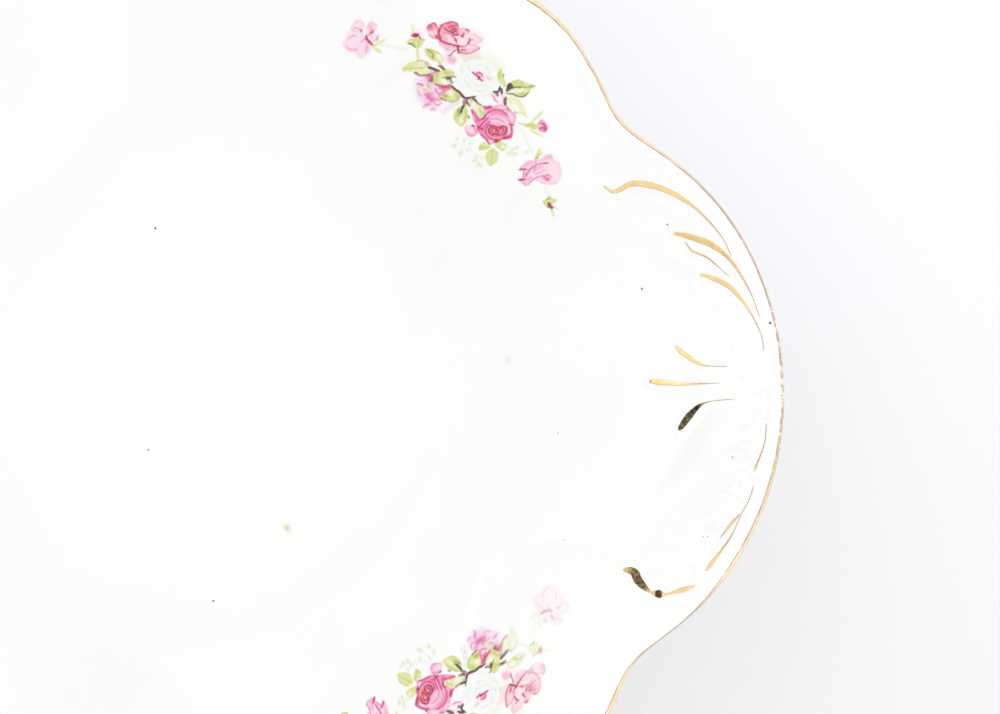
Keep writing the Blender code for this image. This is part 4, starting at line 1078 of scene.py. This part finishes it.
def add_print(name, x, y, colour, material, nodes=()):
    """A painted skin over the bowl's surface at plan points x and y, without its blank cells."""
    points = over_wall(x, y, np.full(x.shape, PRINT_GAP))
    quads = sheet_faces(*x.shape, False, False)
    inked = colour.min(axis=-1).ravel() < BLANK
    quads = quads[inked[quads].any(axis=1)]
    kept, quads = np.unique(quads, return_inverse=True)
    mesh = make_mesh(name, points.reshape(-1, 3)[kept], quads.reshape(-1, 4))
    ink = mesh.attributes.new("ink", "FLOAT_COLOR", "POINT")
    rgba = np.ones((len(kept), 4))
    rgba[:, :3] = to_linear(np.clip(colour, 0, 1)).reshape(-1, 3)[kept]
    ink.data.foreach_set("color", rgba.ravel())
    return add_piece(name, mesh, material, nodes)


def add_prints(material):
    """The same print in each small lobe; the southeast one is partly shifted and paled by a painted
    highlight.
    """
    x, y, painted = paint_print()
    for index, (name, (heart_x, heart_y, lean)) in enumerate(PRINTS.items()):
        is_shifted_and_highlighted = name == "southeast"
        plan = np.stack([x, y], axis=-1)
        if is_shifted_and_highlighted:
            plan = plan + soft_step(-x, NEAR_FROM, NEAR_TO)[..., None] * NEAR_SHIFT
        plan = turned(plan, math.radians(lean)) + (heart_x, heart_y)
        plan = turned(plan, index * QUARTER)
        colour = painted
        if is_shifted_and_highlighted:
            # Painted highlight: the print is washed towards white to the northeast.
            northeast = plan[..., :1] + HIGHLIGHT_LEAN * plan[..., 1:]
            colour = painted + (1 - painted) * HIGHLIGHT_SHARE * soft_step(northeast, HIGHLIGHT_FROM, HIGHLIGHT_TO)
        add_print(f"roses_{name}", plan[..., 0], plan[..., 1], colour, material, [f"rose_spray_{name}"])


# Faint marks on the glaze: plan position, half width, colour and how strongly it shows.
STAINS = ((18.6, -30.3, 0.9, (0.90, 0.76, 0.55), 0.7), (70.6, 7.6, 0.9, (0.96, 0.88, 0.96), 0.6))


def add_stains(material):
    """Small stains, each a skin over the glaze with a ragged edge."""
    for number, (at_x, at_y, half, rgb, strength) in enumerate(STAINS):
        x, y = np.meshgrid(*(np.linspace(-2 * half, 2 * half, 33),) * 2)
        cover = strength * np.exp(-(np.hypot(x, y) / half * (1 + 0.5 * grain(x, y, number))) ** 2 * 1.4)
        colour = 1 - cover[..., None] * (1 - np.array(rgb))
        add_print(f"stain_{number + 1}", x + at_x, y + at_y, colour, material)


# Dark specks that the kiln left in the glaze: plan position and width. The last four are out of the
# photograph's view and made up.
SPECKS = (
    (101.1, 22.9, 0.55), (106.8, 37.0, 0.45), (128.1, 14.4, 0.55), (-13.3, -11.4, 0.4), (-10.5, 40.0, 0.5),
    (1.0, -46.8, 0.45), (82.4, -33.6, 0.3), (81.7, -9.4, 0.3), (119.9, -15.0, 0.35), (113.0, -32.6, 0.3),
    (113.9, -32.5, 0.3), (-71.0, 33.0, 0.4), (-44.0, -80.5, 0.5), (-98.0, -21.0, 0.35), (22.0, 104.0, 0.45),
)
SPECK_FLATNESS = 0.45  # height as a share of width


def add_specks(material):
    """Low round grains, half sunk in the glaze."""
    mesh = bmesh.new()
    for x, y, width in SPECKS:
        at = over_wall(np.array([x]), np.array([y]), np.array([0.0]))[0] * MM
        ball = bmesh.ops.create_icosphere(mesh, subdivisions=2, radius=width / 2 * MM)
        for vert in ball["verts"]:
            vert.co.z *= SPECK_FLATNESS
            vert.co = vert.co + type(vert.co)(at)
    data = bpy.data.meshes.new("kiln_specks")
    mesh.to_mesh(data)
    mesh.free()
    data.shade_smooth()
    return add_piece("kiln_specks", data, material)


# ---------------------------------------------------------------- materials


class Nodes:
    """A material's node tree, with short ways to add and join nodes."""

    def __init__(self, name=None, tree=None):
        if name:
            self.material = bpy.data.materials.new(name)
            self.material.use_nodes = True
            tree = self.material.node_tree
        self.tree = tree
        self.shader = tree.nodes.get("Principled BSDF")

    def add(self, kind, settings=None, **inputs):
        node = self.tree.nodes.new(kind)
        for key, value in (settings or {}).items():
            setattr(node, key, value)
        for key, value in inputs.items():
            self.join(value, node.inputs[key.replace("_", " ")])
        return node

    def join(self, value, socket):
        if isinstance(value, bpy.types.NodeSocket):
            self.tree.links.new(value, socket)
        else:
            socket.default_value = value

    def noise(self, scale, detail=3.0, roughness=0.5):
        where = self.add("ShaderNodeTexCoord")
        node = self.add("ShaderNodeTexNoise", Scale=scale, Detail=detail, Roughness=roughness)
        self.tree.links.new(where.outputs["Object"], node.inputs["Vector"])
        return node.outputs["Fac"]

    def ramp(self, value, stops):
        node = self.add("ShaderNodeValToRGB", Fac=value)
        elements = node.color_ramp.elements
        while len(elements) < len(stops):
            elements.new(0.5)
        for element, (position, colour) in zip(elements, stops):
            element.position = position
            element.color = (*colour, 1.0) if isinstance(colour, tuple) else (colour, colour, colour, 1.0)
        return node.outputs["Color"]

    def multiply(self, first, second):
        node = self.add("ShaderNodeMix", {"data_type": "RGBA", "blend_type": "MULTIPLY"})
        node.inputs[0].default_value = 1.0
        self.join(first, node.inputs[6])
        self.join(second, node.inputs[7])
        return node.outputs[2]

    def blend(self, share, first, second):
        node = self.add("ShaderNodeMix", {"data_type": "RGBA"})
        for index, value in ((0, share), (6, first), (7, second)):
            self.join((*value, 1.0) if isinstance(value, tuple) else value, node.inputs[index])
        return node.outputs[2]

    def math(self, operation, first, second=0.5):
        node = self.add("ShaderNodeMath", {"operation": operation})
        self.join(first, node.inputs[0])
        self.join(second, node.inputs[1])
        return node.outputs[0]

    def between(self, value, low, high, edge=0.4):
        """1 between low and high, falling softly to 0 outside."""
        settings = {"interpolation_type": "SMOOTHSTEP"}
        rise, fall = (
            self.add("ShaderNodeMapRange", settings, Value=value, From_Min=start, From_Max=end)
            for start, end in ((low - edge, low + edge), (high + edge, high - edge))
        )
        return self.math("MULTIPLY", rise.outputs["Result"], fall.outputs["Result"])

    def bump(self, height, distance, strength=1.0):
        node = self.add("ShaderNodeBump", Height=height, Distance=distance, Strength=strength)
        self.join(node.outputs["Normal"], self.shader.inputs["Normal"])

    def set(self, **inputs):
        for key, value in inputs.items():
            self.join(value, self.shader.inputs[key.replace("_", " ")])


PORCELAIN = ((0.905, 0.905, 0.90), (0.925, 0.925, 0.923))  # slightly warmer and cooler glaze


def glaze(name, ink=False):
    """White porcelain under a clear gloss glaze. With ink, a print's colours show in it."""
    n = Nodes(name)
    colour = n.ramp(n.noise(28.0, 4.0), ((0.3, PORCELAIN[0]), (0.7, PORCELAIN[1])))
    if ink:
        tint = n.add("ShaderNodeAttribute", {"attribute_name": "ink"})
        colour = n.multiply(colour, tint.outputs["Color"])
    n.set(Base_Color=colour, Roughness=0.06, IOR=1.5)
    n.bump(n.noise(140.0, 2.0), 0.00004, 0.5)
    return n.material


def foot_clay():
    """Glazed sides and a bare, slightly soiled tread."""
    n = Nodes("foot_porcelain")
    where = n.add("ShaderNodeTexCoord")
    height = n.add("ShaderNodeSeparateXYZ", Vector=where.outputs["Object"]).outputs["Z"]
    worn = n.math("ADD", n.math("MULTIPLY", height, 900.0), n.math("MULTIPLY", n.noise(300.0, 5.0), 0.8))
    n.set(Base_Color=n.ramp(worn, ((0.35, (0.62, 0.58, 0.52)), (0.9, (0.90, 0.90, 0.885)))))
    n.set(Roughness=n.ramp(worn, ((0.4, 0.75), (1.0, 0.08))))
    n.bump(n.noise(2500.0, 4.0), 0.00005, 0.4)
    return n.material


# Dark and light streaks of each gilding.
STROKE_GOLD = ((0.90, 0.60, 0.25), (1.0, 0.76, 0.38))
LINE_GOLD = ((0.90, 0.65, 0.36), (1.0, 0.83, 0.58))
WORN_GOLD = (0.50, 0.36, 0.25)
# Colour of the painted dark reflection in the gold.
DARK_REFLECTION_COLOUR = (0.075, 0.062, 0.028)


def gilt(name, gold):
    """Fired gold, brushed on, with faint streaks, worn and darkened by painted dark reflection as the piece's
    own values say.
    """
    n = Nodes(name)
    painted_dark_reflection, wear, edge = (
        n.add("ShaderNodeAttribute", {"attribute_name": value}).outputs["Fac"]
        for value in ("painted_dark_reflection", "wear", "edge")
    )
    streaks = n.noise(420.0, 6.0, 0.7)
    colour = n.ramp(streaks, ((0.25, gold[0]), (0.6, gold[1])))
    colour = n.blend(n.math("MULTIPLY", edge, n.math("ADD", streaks, 0.45)), colour, WORN_GOLD)
    # Painted dark reflection, broken into patches, darkens the gold towards its colour.
    patches = n.math("MULTIPLY", n.noise(1500.0, 5.0, 0.7), 1.9)
    colour = n.blend(n.math("MULTIPLY", painted_dark_reflection, patches), colour, DARK_REFLECTION_COLOUR)
    left = n.math("SUBTRACT", n.noise(700.0, 6.0, 0.75), n.math("MULTIPLY", wear, 0.38))
    metal = n.ramp(left, ((0.16, 0.0), (0.24, 1.0)))
    colour = n.blend(metal, (0.86, 0.84, 0.80), colour)
    n.set(Base_Color=colour, Metallic=metal)
    n.set(Roughness=n.ramp(n.noise(700.0, 4.0), ((0.3, 0.07), (0.8, 0.16))))
    n.bump(n.noise(1300.0, 3.0), 0.000004, 0.5)
    return n.material


def speck_iron():
    n = Nodes("kiln_iron")
    n.set(Base_Color=n.ramp(n.noise(3000.0), ((0.3, (0.035, 0.025, 0.02)), (0.8, (0.11, 0.08, 0.06)))))
    n.set(Roughness=0.25)
    return n.material


# The table's colour darkens towards its nearer side: painted shade standing in for the studio light falling
# off across it.
TABLE_PAINTED_SHADE = ((0.832, 0.832, 0.838), (0.902, 0.899, 0.931))  # nearer and farther side


def table_with_painted_shade():
    n = Nodes("table_with_painted_shade")
    where = n.add("ShaderNodeTexCoord").outputs["Object"]
    north = n.add("ShaderNodeSeparateXYZ", Vector=where).outputs["Y"]
    # Painted shade: the colour runs from dark in the south to light in the north of the view.
    across = n.add("ShaderNodeMapRange", Value=north, From_Min=-0.10, From_Max=0.07).outputs["Result"]
    share = n.math("ADD", across, n.math("MULTIPLY", n.noise(3.0, 4.0), 0.1))
    n.set(Base_Color=n.ramp(share, ((0.05, TABLE_PAINTED_SHADE[0]), (1.0, TABLE_PAINTED_SHADE[1]))))
    n.set(Roughness=n.ramp(n.noise(14.0, 3.0), ((0.3, 0.55), (0.7, 0.7))))
    n.bump(n.noise(800.0, 3.0), 0.00003, 0.3)
    return n.material


# ---------------------------------------------------------------- stage, light and camera

VIEW_POINT = (68.8, 8.3)  # plan point under the middle of the view
VIEW_TURN = math.radians(-1.3)
VIEW_DISTANCE = 900.0
VIEW_WIDTH = 219.2  # across the frame at the height of the rim
SENSOR = 36.0


def add_table(material):
    bpy.ops.mesh.primitive_plane_add(size=6.0, location=(0, 0, FOOT_LOW[2] * MM))
    table = bpy.context.object
    table.name = "tabletop"
    table.data.materials.append(material)


def add_light(name, location, size, watts, aim=(0.0, 0.0, 0.0)):
    data = bpy.data.lights.new(name, "AREA")
    data.shape = "RECTANGLE"
    data.size, data.size_y = size
    data.energy = watts
    lamp = bpy.data.objects.new(name, data)
    lamp.location = location
    bpy.context.scene.collection.objects.link(lamp)
    heading = type(lamp.location)(aim) - lamp.location
    lamp.rotation_euler = heading.to_track_quat("-Z", "Y").to_euler()


# The studio's walls as they mirror in the glaze, each as degrees north of west and degrees above the table
# (low and high), and its brightness: a window, the strip beside it, and the dark stand below them.
ROOM_LIGHT = 1.075
WALL_PANELS = (
    ((0.0, 55.0), (-30.0, 6.0), 0.03),
    ((-1.0, 31.0), (6.4, 13.5), 1.9),
    ((32.5, 45.0), (-8.0, 12.0), 1.9),
)


def add_world():
    """A bright even room, with the panels that mirror in the wall of the east lobe."""
    world = bpy.data.worlds.new("studio")
    bpy.context.scene.world = world
    world.use_nodes = True
    n = Nodes(tree=world.node_tree)
    where = n.add("ShaderNodeTexCoord").outputs["Generated"]
    x, y, z = n.add("ShaderNodeSeparateXYZ", Vector=where).outputs
    turn = n.math("ARCTAN2", n.math("MULTIPLY", y, -1.0), n.math("MULTIPLY", x, -1.0))
    turn = n.math("MULTIPLY", turn, -math.degrees(1.0))
    rise = n.math("MULTIPLY", n.math("ARCSINE", z), math.degrees(1.0))
    glow = ROOM_LIGHT
    for turns, rises, brightness in WALL_PANELS:
        share = n.math("MULTIPLY", n.between(turn, *turns), n.between(rise, *rises))
        mix = n.add("ShaderNodeMix", Factor=share, A=glow, B=brightness)
        glow = mix.outputs["Result"]
    background = world.node_tree.nodes["Background"]
    background.inputs["Color"].default_value = (1.0, 1.0, 1.0, 1.0)
    n.join(glow, background.inputs["Strength"])


def add_camera():
    data = bpy.data.cameras.new("camera")
    data.sensor_width = SENSOR
    data.lens = SENSOR * VIEW_DISTANCE / VIEW_WIDTH
    data.clip_start, data.clip_end = 0.01, 20.0
    camera = bpy.data.objects.new("camera", data)
    camera.location = (VIEW_POINT[0] * MM, VIEW_POINT[1] * MM, (BODY_HIGH[2] + VIEW_DISTANCE) * MM)
    camera.rotation_euler.z = VIEW_TURN
    bpy.context.scene.collection.objects.link(camera)
    bpy.context.scene.camera = camera


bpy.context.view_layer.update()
bpy.context.scene.view_settings.view_transform = "Standard"
porcelain = glaze("porcelain_glaze")
add_bowl(porcelain)
add_foot(foot_clay())
add_gilt_line(gilt("gilt_line", LINE_GOLD))
add_brush_strokes(gilt("gilt_brushed", STROKE_GOLD))
inked = glaze("printed_glaze", ink=True)
add_prints(inked)
add_stains(inked)
add_specks(speck_iron())
add_table(table_with_painted_shade())
add_world()
add_light("key", (-0.6, 1.1, 1.5), (1.4, 1.4), 2.2)
add_light("fill", (0.9, -1.2, 0.9), (1.2, 0.8), 1.6)
add_camera()
